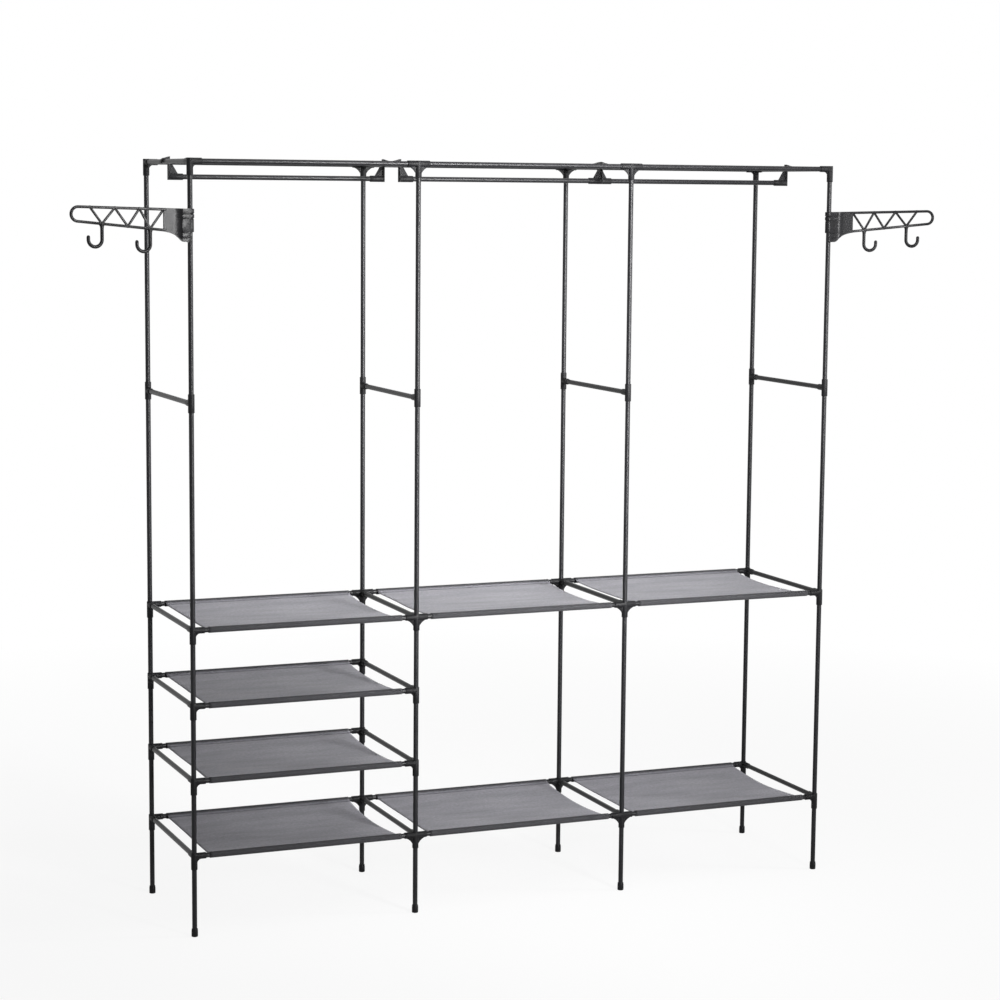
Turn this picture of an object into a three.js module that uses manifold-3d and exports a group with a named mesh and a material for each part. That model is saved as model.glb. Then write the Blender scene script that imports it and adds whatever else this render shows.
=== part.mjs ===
// Open frame wardrobe: three bays of push-fit steel tube side by side, with eight fabric shelves,
// three clothes rods hung from the top cross tubes and a swivelling hook arm at each end.
// Millimetres, +Z up, +X to the right along the front, +Y from the front posts to the back ones.
import * as THREE from "three";
import { mergeVertices } from "three/addons/utils/BufferGeometryUtils.js";
import Module from "manifold-3d";

const wasm = await Module();
wasm.setup();
const { Manifold, Mesh } = wasm;

// Driving dimensions of the frame, between tube axes.
const bayWidth = 514;
const frameDepth = 362;
const bottomShelfHeight = 180;
const shelfSpacing = 166;
const braceHeight = 1168;
const topHeight = 1680;
const bayNames = ["left", "centre", "right"];
const levelNames = ["bottom", "second", "third", "middle"];
const bayLevels = [[0, 1, 2, 3], [0, 3], [0, 3]];

// Tube stock, shared by the posts, rails, cross tubes and clothes rods.
const tubeRadius = 5.5;
const tubeWall = 0.6;
const tubeSides = 8;
const boreRadius = tubeRadius - tubeWall;

// Fits and cutting allowances.
const fitGap = 0.3;
const cutOverrun = 2;
const weldTolerance = 0.0001;

// Moulded joints that hold the tube ends.
const socketWall = 1.3;
const socketReach = 26;
const socketStop = 9;
const sleeveDrop = 30;
const gussetThickness = 4.5;
const gussetSegments = 2;
const braceSleeveReach = 20;
const socketBore = tubeRadius + fitGap;
const socketRadius = socketBore + socketWall;

// Webs under the sockets: "reach" along the socket, "drop" down the sleeve, "bend" the corner that the
// hollow edge is drawn towards. Tee joints have wide webs, corner joints short round ones.
const cornerWeb = { reach: 19, drop: 19, bend: 6.6 };
const teeWeb = { reach: socketReach - socketWall, drop: 23, bend: 10.5 };
const braceWeb = { reach: 12, drop: 12, bend: 6.2 };

// Foot caps under the posts.
const footRadius = 7.2;
const footTopRadius = 6.5;
const footHeight = 18;
const footShoulder = 14;
const footFloor = 3;

// Fabric shelves.
const fabricThickness = 1.1;
const fabricInset = 35;
const fabricSag = 7;
const fabricSegments = 6;
const edgeHollow = 7;
const edgeMargin = 10;
const hemInner = tubeRadius + fitGap;
const hemOuter = hemInner + fabricThickness;
const seamReach = 15;

// Clothes rods and the brackets that hook them over the top cross tubes.
const rodDrop = 32.5;
const rodDepths = [202, 143, 195];
const bracketWidth = 13;
const bracketWall = 3;
const hookSlack = 1.8;
const hookWall = 2.6;
const hookCornerRise = 3;
const hookLip = 4;
const rodSocketReach = 33;
const webRise = 27;
const webReach = 22;
const webTopReach = 9.5;
const webThickness = 4;
const hookSegments = 3;

// Hook arms: "reach" values run out along the arm from the post's axis, "drop" values down from the height
// of the top bar at the post.
const armLength = 267;
const armDrop = 102.8;
const armRise = 6.3;
const armHeight = topHeight - armDrop;
const armThickness = 5.5;
const barWidth = 6;
const strutWidth = 4.8;
const tipDrop = 23.8;
const plateReach = 60;
const plateDrop = 41.7;
const plateWaistReach = 33;
const plateWaistDrop = 52.8;
const plateFootReach = 14.5;
const plateFlareReach = 34;
const housingReach = 20;
const upperClampDrop = 46;
const clampDrop = 67.2;
const clampRadius = 8.2;
const lowerClampRadius = 7.5;
const clampRib = 0.6;
const clampRibHeight = 4;
const clampRibSpacing = 8;
const clampMouth = 7;
const clampSides = 12;
const clampBore = (tubeRadius + fitGap) / Math.cos(Math.PI / clampSides);
const topNodeReaches = [223, 168.5, 114, 60];
const bottomNodeReaches = [197, 140, 90];
const hookNodeReaches = [197, 90];
const hookShank = 32.5;
const hookBend = 15;
const hookTip = 9;
const hookRadius = 3.8;
const hookCollarRadius = 6;
const hookCollarHeight = 6;
const hookSides = 3;
const hookSteps = 9;
const loopSegments = 4;
const armTurnDegrees = 7.7;

// Finishes.
const steel = new THREE.MeshStandardMaterial({ color: 0x33343a, roughness: 0.42, metalness: 0.6 });
const jointPlastic = new THREE.MeshStandardMaterial({ color: 0x1d1d20, roughness: 0.5, metalness: 0 });
const armPlastic = new THREE.MeshStandardMaterial({ color: 0x3b3c40, roughness: 0.45, metalness: 0 });
const fabric = new THREE.MeshStandardMaterial({ color: 0x6d6c74, roughness: 0.9, metalness: 0 });

// A three.js geometry as a closed solid that can be joined and cut.
function solidOf(geometry) {
  const bare = geometry.index ? geometry.toNonIndexed() : geometry.clone();
  bare.deleteAttribute("normal");
  bare.deleteAttribute("uv");
  const merged = mergeVertices(bare, weldTolerance);
  return new Manifold(
    new Mesh({
      numProp: 3,
      vertProperties: new Float32Array(merged.attributes.position.array),
      triVerts: new Uint32Array(merged.index.array),
    }),
  );
}

function geometryOf(solid) {
  const { vertProperties, triVerts } = solid.getMesh();
  const geometry = new THREE.BufferGeometry();
  geometry.setAttribute("position", new THREE.BufferAttribute(new Float32Array(vertProperties), 3));
  geometry.setIndex(new THREE.BufferAttribute(new Uint32Array(triVerts), 1));
  geometry.computeVertexNormals();
  return geometry;
}

const joined = (solids) => solids.reduce((whole, piece) => whole.add(piece));
const cutBy = (solid, cutters) => cutters.reduce((whole, cutter) => whole.subtract(cutter), solid);

function named(name, solid, material) {
  const mesh = new THREE.Mesh(geometryOf(solid), material);
  mesh.name = name;
  return mesh;
}

// Turns a geometry whose long axis is Z onto X or Y, keeping the facets of mating pieces in step.
function turnFromZ(geometry, axis) {
  if (axis === "x") geometry.rotateY(Math.PI / 2);
  if (axis === "y") geometry.rotateX(-Math.PI / 2);
  return geometry;
}

// A round bar along an axis, from one place on that axis to another.
function roundBar(axis, radius, from, to, sides = tubeSides) {
  const bar = new THREE.CylinderGeometry(radius, radius, to - from, sides);
  bar.rotateX(Math.PI / 2).translate(0, 0, (from + to) / 2);
  return turnFromZ(bar, axis);
}

function pipe(axis, outer, inner, from, to) {
  const bore = roundBar(axis, inner, from - cutOverrun, to + cutOverrun);
  return solidOf(roundBar(axis, outer, from, to)).subtract(solidOf(bore));
}

// A flat outline drawn in reach and height, given thickness across and stood upright along +X.
function uprightPlate(shape, thickness, curveSegments) {
  const plate = new THREE.ExtrudeGeometry(shape, { depth: thickness, bevelEnabled: false, curveSegments });
  return plate.translate(0, 0, -thickness / 2).rotateX(Math.PI / 2);
}

// Hollow-edged web in the corner between a sleeve and a socket.
function gusset({ reach, drop, bend }, heading, upward) {
  const shape = new THREE.Shape();
  shape.moveTo(0, 0);
  shape.lineTo(reach, 0);
  shape.lineTo(reach, -socketBore);
  shape.quadraticCurveTo(bend, -bend, socketBore, -drop);
  shape.lineTo(0, -drop);
  const web = uprightPlate(shape, gussetThickness, gussetSegments);
  if (upward) web.rotateX(Math.PI);
  return web.rotateZ(heading);
}

const headingAxis = { right: ["x", 1, 0], left: ["x", -1, Math.PI], back: ["y", 1, Math.PI / 2], front: ["y", -1, -Math.PI / 2] };

// A horizontal socket from the joint's centre: its outside, and the bore that takes the tube end.
function socket(side, place) {
  const [axis, sign] = headingAxis[side];
  const span = (near, far) => (sign > 0 ? [near, far] : [-far, -near]);
  const outside = roundBar(axis, socketRadius, ...span(0, socketReach));
  const bore = roundBar(axis, socketBore, ...span(socketStop, socketReach + cutOverrun));
  return { outside: outside.translate(...place), bore: bore.translate(...place) };
}

// One moulded joint at a place on a post, as geometries to join and bores to cut.
function joint(place, sides, { drop, rise, web, doubleWeb }) {
  const sockets = sides.map((side) => socket(side, place));
  const sleeve = roundBar("z", socketRadius, -drop, rise).translate(...place);
  const tee = sides.includes("left") && sides.includes("right");
  const webs = sides.flatMap((side) => {
    const shape = tee && headingAxis[side][0] === "x" ? teeWeb : web;
    const ways = doubleWeb ? [false, true] : [false];
    return ways.map((upward) => gusset(shape, headingAxis[side][2], upward).translate(...place));
  });
  return { body: [sleeve, ...sockets.map((s) => s.outside), ...webs], bores: sockets.map((s) => s.bore) };
}

const postPlaces = bayNames.length + 1;
const postX = (index) => (index - (postPlaces - 1) / 2) * bayWidth;
const levelHeight = (level) => bottomShelfHeight + level * shelfSpacing;
const rows = [
  { name: "front", y: 0, inward: "back" },
  { name: "back", y: frameDepth, inward: "front" },
];
const shelfJoint = { drop: sleeveDrop, rise: socketRadius, web: cornerWeb, doubleWeb: false };
const braceJoint = { drop: braceSleeveReach, rise: braceSleeveReach, web: braceWeb, doubleWeb: true };

// Which neighbours a joint has on its left and right, for the bays that have that level.
function railSides(index, hasLevel) {
  const sides = [];
  if (index > 0 && hasLevel(index - 1)) sides.push("left");
  if (index < bayNames.length && hasLevel(index)) sides.push("right");
  return sides;
}

// A post: its tubes end to end, with the joint at each level and the cap at its foot.
function post(index, row) {
  const x = postX(index);
  const levels = levelNames.map((_, level) => level);
  const joints = levels.flatMap((level) => {
    const sides = railSides(index, (bay) => bayLevels[bay].includes(level));
    return sides.length ? [joint([0, 0, levelHeight(level)], [...sides, row.inward], shelfJoint)] : [];
  });
  joints.push(joint([0, 0, braceHeight], [row.inward], braceJoint));
  const topEnd = topHeight - socketStop - fitGap;
  const tube = roundBar("z", tubeRadius, footFloor, topEnd);
  const footProfile = [
    [0, 0],
    [footRadius, 0],
    [footRadius, footShoulder],
    [footTopRadius, footHeight],
    [0, footHeight],
  ].map(([r, z]) => new THREE.Vector2(r, z));
  const foot = new THREE.LatheGeometry(footProfile, tubeSides).rotateX(Math.PI / 2);
  const whole = joined([tube, foot, ...joints.flatMap((j) => j.body)].map(solidOf));
  const centreBore = roundBar("z", boreRadius, footFloor, topEnd + cutOverrun);
  const hollow = cutBy(whole, [centreBore, ...joints.flatMap((j) => j.bores)].map(solidOf));
  const mesh = named(`post_${row.name}_${index + 1}`, hollow, steel);
  mesh.position.set(x, row.y, 0);
  return mesh;
}

// The top frame: six rails and four cross tubes held by eight corner pieces, hollow throughout.
function topFrame() {
  const outside = [];
  const bores = [];
  const endX = postX(postPlaces - 1);
  for (const row of rows) {
    outside.push(roundBar("x", tubeRadius, -endX, endX).translate(0, row.y, 0));
    bores.push(roundBar("x", boreRadius, -endX, endX).translate(0, row.y, 0));
  }
  for (let index = 0; index < postPlaces; index++) {
    outside.push(roundBar("y", tubeRadius, 0, frameDepth).translate(postX(index), 0, 0));
    bores.push(roundBar("y", boreRadius, 0, frameDepth).translate(postX(index), 0, 0));
    for (const row of rows) {
      const place = [postX(index), row.y, 0];
      const sides = [...railSides(index, () => true), row.inward];
      outside.push(...joint(place, sides, shelfJoint).body);
      bores.push(roundBar("z", socketBore, -sleeveDrop - cutOverrun, -socketStop).translate(...place));
      bores.push(roundBar("z", boreRadius, -socketStop - cutOverrun, 0).translate(...place));
    }
  }
  const mesh = named("top_frame", cutBy(joined(outside.map(solidOf)), bores.map(solidOf)), steel);
  mesh.position.z = topHeight;
  return mesh;
}

const endGap = socketStop + fitGap;

function rail(bay, row, level) {
  const tube = pipe("x", tubeRadius, boreRadius, postX(bay) + endGap, postX(bay + 1) - endGap);
  const mesh = named(`rail_${row.name}_${bayNames[bay]}_${levelNames[level]}`, tube, steel);
  mesh.position.set(0, row.y, levelHeight(level));
  return mesh;
}

function crossTube(name, index, height) {
  const tube = pipe("y", tubeRadius, boreRadius, endGap, frameDepth - endGap);
  const mesh = named(name, tube, steel);
  mesh.position.set(postX(index), 0, height);
  return mesh;
}

// A shelf: fabric drawn between two rails, each of which runs through a hem that narrows to its seam.
function shelf(bay, level) {
  const left = postX(bay) + fabricInset;
  const right = postX(bay + 1) - fabricInset;
  const width = right - left;
  const sheetTop = (share) => fabricThickness / 2 - fabricSag * (1 - (2 * share - 1) ** 2);
  const upper = Array.from({ length: fabricSegments + 1 }, (_, i) => i / fabricSegments);
  const outline = [
    ...upper.map((share) => new THREE.Vector2(share * frameDepth, sheetTop(share))),
    ...upper.map((share) => new THREE.Vector2(share * frameDepth, sheetTop(share) - fabricThickness)).reverse(),
  ];
  const ontoX = new THREE.Matrix4().makeBasis(
    new THREE.Vector3(0, 1, 0),
    new THREE.Vector3(0, 0, 1),
    new THREE.Vector3(1, 0, 0),
  );
  const alongRail = (shape) =>
    new THREE.ExtrudeGeometry(shape, { depth: width, bevelEnabled: false }).applyMatrix4(ontoX).translate(left, 0, 0);
  const sheet = alongRail(new THREE.Shape(outline));
  const hems = rows.map((row) => pipe("x", hemOuter, hemInner, left, right).translate([0, row.y, 0]));
  const seamShare = seamReach / frameDepth;
  const seamTop = sheetTop(seamShare);
  const seam = (share, towards) => {
    const depth = share * frameDepth;
    const fold = new THREE.Shape([
      new THREE.Vector2(depth, hemOuter),
      new THREE.Vector2(depth + towards * seamReach, seamTop),
      new THREE.Vector2(depth + towards * seamReach, seamTop - fabricThickness),
      new THREE.Vector2(depth, -hemOuter),
    ]);
    return alongRail(fold);
  };
  const hollowEdge = new THREE.Shape();
  const edgeHalf = frameDepth / 2 - edgeMargin;
  hollowEdge.moveTo(-cutOverrun, -edgeHalf);
  hollowEdge.lineTo(0, -edgeHalf);
  hollowEdge.quadraticCurveTo(2 * edgeHollow, 0, 0, edgeHalf);
  hollowEdge.lineTo(-cutOverrun, edgeHalf);
  const cutDepth = fabricSag + hemOuter + cutOverrun;
  const edgeCut = (turn, x) =>
    new THREE.ExtrudeGeometry(hollowEdge, { depth: 2 * cutDepth, bevelEnabled: false, curveSegments: fabricSegments })
      .translate(0, 0, -cutDepth)
      .rotateZ(turn)
      .translate(x, frameDepth / 2, 0);
  const sides = [edgeCut(0, left), edgeCut(Math.PI, right)].map(solidOf);
  const bores = rows.map((row) =>
    solidOf(roundBar("x", hemInner, left - cutOverrun, right + cutOverrun).translate(0, row.y, 0)),
  );
  const folds = [seam(0, 1), seam(1, -1)].map(solidOf);
  const cloth = cutBy(joined([cutBy(solidOf(sheet), sides), ...hems, ...folds]), bores);
  const mesh = named(`shelf_${bayNames[bay]}_${levelNames[level]}`, cloth, fabric);
  mesh.position.z = levelHeight(level);
  return mesh;
}

// A rod bracket: a hook over the cross tube, a wall down beside it and a braced socket for the rod.
// Drawn with the cross tube's axis at the origin and the rod leading off along +X.
function rodBracket() {
  const hookInner = tubeRadius + hookSlack;
  const hookOuter = hookInner + hookWall;
  const hookCentre = fitGap - hookSlack;
  const wallFace = hookInner + bracketWall;
  const hookShape = new THREE.Shape();
  hookShape.moveTo(hookInner, -rodDrop - socketRadius);
  hookShape.lineTo(wallFace, -rodDrop - socketRadius);
  hookShape.lineTo(wallFace, hookCentre + hookOuter + hookCornerRise);
  hookShape.lineTo(0, hookCentre + hookOuter);
  hookShape.absarc(0, hookCentre, hookOuter, Math.PI / 2, Math.PI, false);
  hookShape.lineTo(-hookOuter, -hookLip);
  hookShape.lineTo(-hookInner, -hookLip);
  hookShape.absarc(0, hookCentre, hookInner, Math.PI, 0, true);
  const hook = uprightPlate(hookShape, bracketWidth, hookSegments);
  const webShape = new THREE.Shape();
  webShape.moveTo(hookInner, -rodDrop);
  webShape.lineTo(hookInner + webReach, -rodDrop);
  webShape.lineTo(hookInner + webReach, -rodDrop + socketBore);
  webShape.lineTo(hookInner + webTopReach, -rodDrop + webRise);
  webShape.lineTo(hookInner, -rodDrop + webRise);
  const web = uprightPlate(webShape, webThickness, hookSegments);
  const rodEnd = wallFace + fitGap;
  const socketEnd = hookInner + rodSocketReach;
  const socketBody = roundBar("x", socketRadius, hookInner, socketEnd).translate(0, 0, -rodDrop);
  const bore = roundBar("x", socketBore, wallFace, socketEnd + cutOverrun).translate(0, 0, -rodDrop);
  return { solid: cutBy(joined([hook, web, socketBody].map(solidOf)), [solidOf(bore)]), rodEnd };
}

// A clothes rod with its two brackets, in a group that slides along the cross tubes.
function clothesRod(bay) {
  const group = new THREE.Group();
  const bracket = rodBracket();
  const rod = pipe("x", tubeRadius, boreRadius, postX(bay) + bracket.rodEnd, postX(bay + 1) - bracket.rodEnd);
  const rodMesh = named(`clothes_rod_${bayNames[bay]}`, rod, steel);
  rodMesh.position.z = -rodDrop;
  const ends = [
    ["left_end", postX(bay), 0],
    ["right_end", postX(bay + 1), Math.PI],
  ];
  for (const [end, x, turn] of ends) {
    const mesh = named(`rod_bracket_${bayNames[bay]}_${end}`, bracket.solid, jointPlastic);
    mesh.position.x = x;
    mesh.rotation.z = turn;
    group.add(mesh);
  }
  group.add(rodMesh);
  group.position.set(0, rodDepths[bay], topHeight);
  return group;
}

// Heights of the arm's top bar and lower bar at a reach from the post.
const topBar = (reach) => (armRise * reach) / loopCentre;
const lowerBar = (reach) => {
  const share = (reach - plateReach) / (loopCentre - plateReach);
  return -plateDrop + share * (plateDrop - tipDrop);
};
const loopRadius = (armRise + tipDrop) / 2;
const loopCentre = armLength - loopRadius - barWidth / 2;

// A straight bar of the arm's truss between two points, in reach and height.
function trussBar([reachA, heightA], [reachB, heightB], width) {
  const length = Math.hypot(reachB - reachA, heightB - heightA);
  const bar = new THREE.BoxGeometry(length, armThickness, width);
  bar.rotateY(-Math.atan2(heightB - heightA, reachB - reachA));
  return bar.translate((reachA + reachB) / 2, 0, (heightA + heightB) / 2);
}

// The root plate: its side outline, kept to a plan that flares into the clamp.
function rootPlate() {
  const side = new THREE.Shape();
  side.moveTo(0, barWidth / 2);
  side.lineTo(plateReach, topBar(plateReach) + barWidth / 2);
  side.lineTo(plateReach, -plateDrop - barWidth / 2);
  side.quadraticCurveTo(plateWaistReach + clampRadius, -plateDrop - barWidth, plateWaistReach, -plateWaistDrop);
  side.lineTo(plateFootReach, -clampDrop);
  side.lineTo(0, -clampDrop);
  const slab = solidOf(uprightPlate(side, 2 * clampRadius, loopSegments));
  const plan = new THREE.Shape();
  plan.moveTo(0, -clampRadius);
  plan.lineTo(housingReach, -clampRadius);
  plan.quadraticCurveTo(housingReach, -armThickness / 2, plateFlareReach, -armThickness / 2);
  plan.lineTo(plateReach, -armThickness / 2);
  plan.lineTo(plateReach, armThickness / 2);
  plan.lineTo(plateFlareReach, armThickness / 2);
  plan.quadraticCurveTo(housingReach, armThickness / 2, housingReach, clampRadius);
  plan.lineTo(0, clampRadius);
  const height = clampDrop + barWidth + armRise;
  const flare = new THREE.ExtrudeGeometry(plan, {
    depth: height,
    bevelEnabled: false,
    curveSegments: hookSegments,
  }).translate(0, 0, barWidth / 2 + armRise - height);
  return slab.intersect(solidOf(flare));
}

// The clamp round the post: a wide ribbed sleeve above a narrower one.
function clampSleeve() {
  const top = barWidth / 2;
  const profile = [[0, top]];
  const ribPair = (height, radius) => {
    for (const rib of [height, height - clampRibSpacing]) {
      profile.push([radius, rib], [radius + clampRib, rib]);
      profile.push([radius + clampRib, rib - clampRibHeight], [radius, rib - clampRibHeight]);
    }
  };
  ribPair(top, clampRadius);
  profile.push([clampRadius, -upperClampDrop], [lowerClampRadius, -upperClampDrop]);
  ribPair(-clampDrop + clampRibSpacing + clampRibHeight, lowerClampRadius);
  profile.push([0, -clampDrop]);
  const points = profile.map(([r, z]) => new THREE.Vector2(r, z)).reverse();
  return new THREE.LatheGeometry(points, clampSides).rotateX(Math.PI / 2);
}

// A J hook moulded under the arm: a shank down, a half turn and a short upturned tip.
function hangingHook(reach) {
  const top = lowerBar(reach);
  const turn = top - hookShank;
  const circle = 4 / 3 * Math.tan(Math.PI / 8) * hookBend;
  const at = (across, height) => new THREE.Vector3(reach + across, 0, height);
  const line = new THREE.CurvePath();
  line.add(new THREE.LineCurve3(at(0, top), at(0, turn)));
  line.add(
    new THREE.CubicBezierCurve3(
      at(0, turn),
      at(0, turn - circle),
      at(hookBend - circle, turn - hookBend),
      at(hookBend, turn - hookBend),
    ),
  );
  line.add(
    new THREE.CubicBezierCurve3(
      at(hookBend, turn - hookBend),
      at(hookBend + circle, turn - hookBend),
      at(2 * hookBend, turn - circle),
      at(2 * hookBend, turn),
    ),
  );
  line.add(new THREE.LineCurve3(at(2 * hookBend, turn), at(2 * hookBend, turn + hookTip)));
  const section = new THREE.Shape().absarc(0, 0, hookRadius, 0, 2 * Math.PI);
  const rod = new THREE.ExtrudeGeometry(section, { steps: hookSteps, extrudePath: line, curveSegments: hookSides });
  const collar = new THREE.CylinderGeometry(hookCollarRadius, hookRadius, hookCollarHeight, hookSides);
  collar.rotateX(Math.PI / 2).translate(reach, 0, top - barWidth / 2 - hookCollarHeight / 2 + weldTolerance);
  return [rod, collar];
}

// A hook arm along +X from the post's axis, where the top bar's centre line is at height zero.
function hookArm(name, postIndex, heading) {
  const loop = new THREE.Shape();
  const loopHeight = armRise - loopRadius;
  loop.absarc(loopCentre, loopHeight, loopRadius + barWidth / 2, -Math.PI / 2, Math.PI / 2, false);
  loop.absarc(loopCentre, loopHeight, loopRadius - barWidth / 2, Math.PI / 2, -Math.PI / 2, true);
  const zigzag = topNodeReaches.flatMap((reach, i) => {
    const nodes = [[reach, topBar(reach)]];
    if (i < bottomNodeReaches.length) nodes.push([bottomNodeReaches[i], lowerBar(bottomNodeReaches[i])]);
    return nodes;
  });
  const struts = zigzag.slice(1).map((node, i) => trussBar(zigzag[i], node, strutWidth));
  const barStart = plateReach - barWidth;
  const bars = [
    trussBar([barStart, topBar(barStart)], [loopCentre, armRise], barWidth),
    trussBar([barStart, lowerBar(barStart)], [loopCentre, -tipDrop], barWidth),
    uprightPlate(loop, armThickness, loopSegments),
    ...struts,
    ...hookNodeReaches.flatMap((reach) => hangingHook(reach)),
  ];
  const body = joined([rootPlate(), ...[clampSleeve(), ...bars].map(solidOf)]);
  const bore = roundBar("z", clampBore, -clampDrop - cutOverrun, barWidth / 2 + cutOverrun, clampSides);
  const mouthReach = clampRadius + clampRib + cutOverrun;
  const mouthHeight = clampDrop + barWidth + 2 * cutOverrun;
  const mouth = new THREE.BoxGeometry(mouthReach, clampMouth, mouthHeight);
  mouth.translate(-mouthReach / 2, 0, barWidth / 2 + cutOverrun - mouthHeight / 2);
  const mesh = named(name, cutBy(body, [bore, mouth].map(solidOf)), armPlastic);
  mesh.position.set(postX(postIndex), 0, armHeight);
  mesh.rotation.z = heading;
  return mesh;
}

// Assembly.
const wardrobe = new THREE.Group();
for (const row of rows) {
  for (let index = 0; index < postPlaces; index++) wardrobe.add(post(index, row));
}
wardrobe.add(topFrame());
bayLevels.forEach((levels, bay) => {
  for (const level of levels) {
    for (const row of rows) wardrobe.add(rail(bay, row, level));
    wardrobe.add(shelf(bay, level));
  }
  wardrobe.add(clothesRod(bay));
});
for (let index = 0; index < postPlaces; index++) {
  levelNames.forEach((levelName, level) => {
    if (railSides(index, (bay) => bayLevels[bay].includes(level)).length) {
      wardrobe.add(crossTube(`cross_tube_${index + 1}_${levelName}`, index, levelHeight(level)));
    }
  });
  wardrobe.add(crossTube(`cross_brace_${index + 1}`, index, braceHeight));
}
const armTurn = THREE.MathUtils.degToRad(armTurnDegrees);
wardrobe.add(hookArm("hook_arm_left", 0, Math.PI + armTurn));
wardrobe.add(hookArm("hook_arm_right", postPlaces - 1, -armTurn));

// The origin is on the floor, under the middle of the whole outline, arms included.
const outline = new THREE.Box3().setFromObject(wardrobe, true);
wardrobe.position.y = -(outline.min.y + outline.max.y) / 2;
wardrobe.updateMatrixWorld(true);

export default wardrobe;
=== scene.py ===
"""Open frame wardrobe of three bays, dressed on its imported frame.

Painted steel tubes push into moulded joints. Eight cloth shelves are slung between the rails, three
clothes rods slide on the top cross tubes, and a hook arm swivels on each front end post.
"""

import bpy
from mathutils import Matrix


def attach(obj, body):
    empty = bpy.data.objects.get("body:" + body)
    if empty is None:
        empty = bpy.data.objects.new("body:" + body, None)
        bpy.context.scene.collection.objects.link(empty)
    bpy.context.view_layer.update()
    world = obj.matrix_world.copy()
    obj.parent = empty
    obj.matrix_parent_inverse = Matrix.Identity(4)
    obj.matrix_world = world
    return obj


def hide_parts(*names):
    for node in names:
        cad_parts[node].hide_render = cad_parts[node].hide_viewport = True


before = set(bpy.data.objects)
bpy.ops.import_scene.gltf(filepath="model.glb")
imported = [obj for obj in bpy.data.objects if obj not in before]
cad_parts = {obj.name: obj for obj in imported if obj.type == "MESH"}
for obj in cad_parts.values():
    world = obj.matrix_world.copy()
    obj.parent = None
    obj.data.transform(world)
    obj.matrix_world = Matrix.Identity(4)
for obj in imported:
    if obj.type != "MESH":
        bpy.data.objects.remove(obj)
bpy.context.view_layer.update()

import logging
import math
import random
from collections.abc import Callable, Iterable, Sequence
from dataclasses import dataclass, field
from enum import Enum

import bmesh
import bpy
from mathutils import Matrix, Vector

LOG = logging.getLogger("wardrobe")
MM = 0.001
WELD = 1e-6
# Nearly all values of a noise pattern lie in this band.
NOISE_BAND = (0.3, 0.7)
# Numbers of a colour mix node's two inputs and of its output.
MIX_FIRST, MIX_SECOND, MIX_RESULT = 6, 7, 2
# How far the middle of a soft rim lies inside its corner, as a share of the rounding.
RIM_INSET = 0.3
WHITE = (1.0, 1.0, 1.0, 1.0)
Colour = tuple[float, float, float, float]
Point = tuple[float, float]
Spot = tuple[float, float, float]
Mesh = bmesh.types.BMesh
Face = bmesh.types.BMFace
Vert = bmesh.types.BMVert
Socket = bpy.types.NodeSocket
Material = bpy.types.Material


class Slot(Enum):
    """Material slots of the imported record."""

    TUBE = "painted_tube"
    CLOTH = "shelf_fabric"
    BRACKET = "bracket_plastic"
    ARM = "arm_plastic"


class Row(Enum):
    """The two rows of posts."""

    FRONT = "front"
    BACK = "back"


class Level(Enum):
    """Heights of the joints' centres above the floor, in metres."""

    BOTTOM = 180 * MM
    SECOND = 346 * MM
    THIRD = 512 * MM
    MIDDLE = 678 * MM
    BRACE = 1168 * MM
    TOP = 1680 * MM

    @property
    def word(self) -> str:
        """The level's name as pieces and nodes use it."""
        return self.name.lower()


class Bay(Enum):
    """The three bays, from left to right."""

    LEFT = 0
    CENTRE = 1
    RIGHT = 2

    @property
    def word(self) -> str:
        """The bay's name as pieces and nodes use it."""
        return self.name.lower()

    @property
    def levels(self) -> tuple[Level, ...]:
        """The levels at which this bay has a shelf.

        Returns:
            The levels, from the floor up.
        """
        if self is Bay.LEFT:
            return (Level.BOTTOM, Level.SECOND, Level.THIRD, Level.MIDDLE)
        return (Level.BOTTOM, Level.MIDDLE)


class Heading(Enum):
    """Ways a socket may face, as degrees about Z from the right."""

    RIGHT = 0
    BACK = 90
    LEFT = 180
    FRONT = 270


class Combine(Enum):
    """Ways to join two solids."""

    ADD = "UNION"
    CUT = "DIFFERENCE"
    COMMON = "INTERSECT"


@dataclass(frozen=True)
class Layout:
    """Where the frame's tubes run."""

    bay_width: float = 514 * MM
    depth: float = 362 * MM
    front: float = -165.35 * MM
    posts: int = 4

    def post_x(self, index: int) -> float:
        """Distance of a post's axis from the middle, with index 0 at the left end."""
        return (index - (self.posts - 1) / 2) * self.bay_width

    def row_y(self, row: Row) -> float:
        """Depth at which a row of posts stands."""
        return self.front if row is Row.FRONT else self.front + self.depth

    def place(self, index: int, row: Row, height: float) -> Vector:
        """The point on a post's axis at a height."""
        return Vector((self.post_x(index), self.row_y(row), height))

    def railed(self, bay: int, level: Level) -> bool:
        """Whether there is a bay of this number with a rail at this level."""
        return 0 <= bay < len(Bay) and (level is Level.TOP or level in Bay(bay).levels)

    def levels(self, index: int) -> list[Level]:
        """The levels at which a post has a joint.

        Args:
            index: The post's number, from 0 at the left end.

        Returns:
            The levels, from the floor up.
        """
        return [
            level for level in Level
            if level is Level.BRACE or self.railed(index - 1, level) or self.railed(index, level)
        ]


def srgb(red: int, green: int, blue: int) -> Colour:
    """Turn screen values from 0 to 255 into a colour for a shader.

    Args:
        red: Red screen value.
        green: Green screen value.
        blue: Blue screen value.

    Returns:
        The linear colour with full alpha.
    """
    def straight(value: int) -> float:
        """One channel by the curve of the screen standard."""
        share = value / 255
        return share / 12.92 if share <= 0.04045 else ((share + 0.055) / 1.055) ** 2.4

    return (straight(red), straight(green), straight(blue), 1.0)


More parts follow.
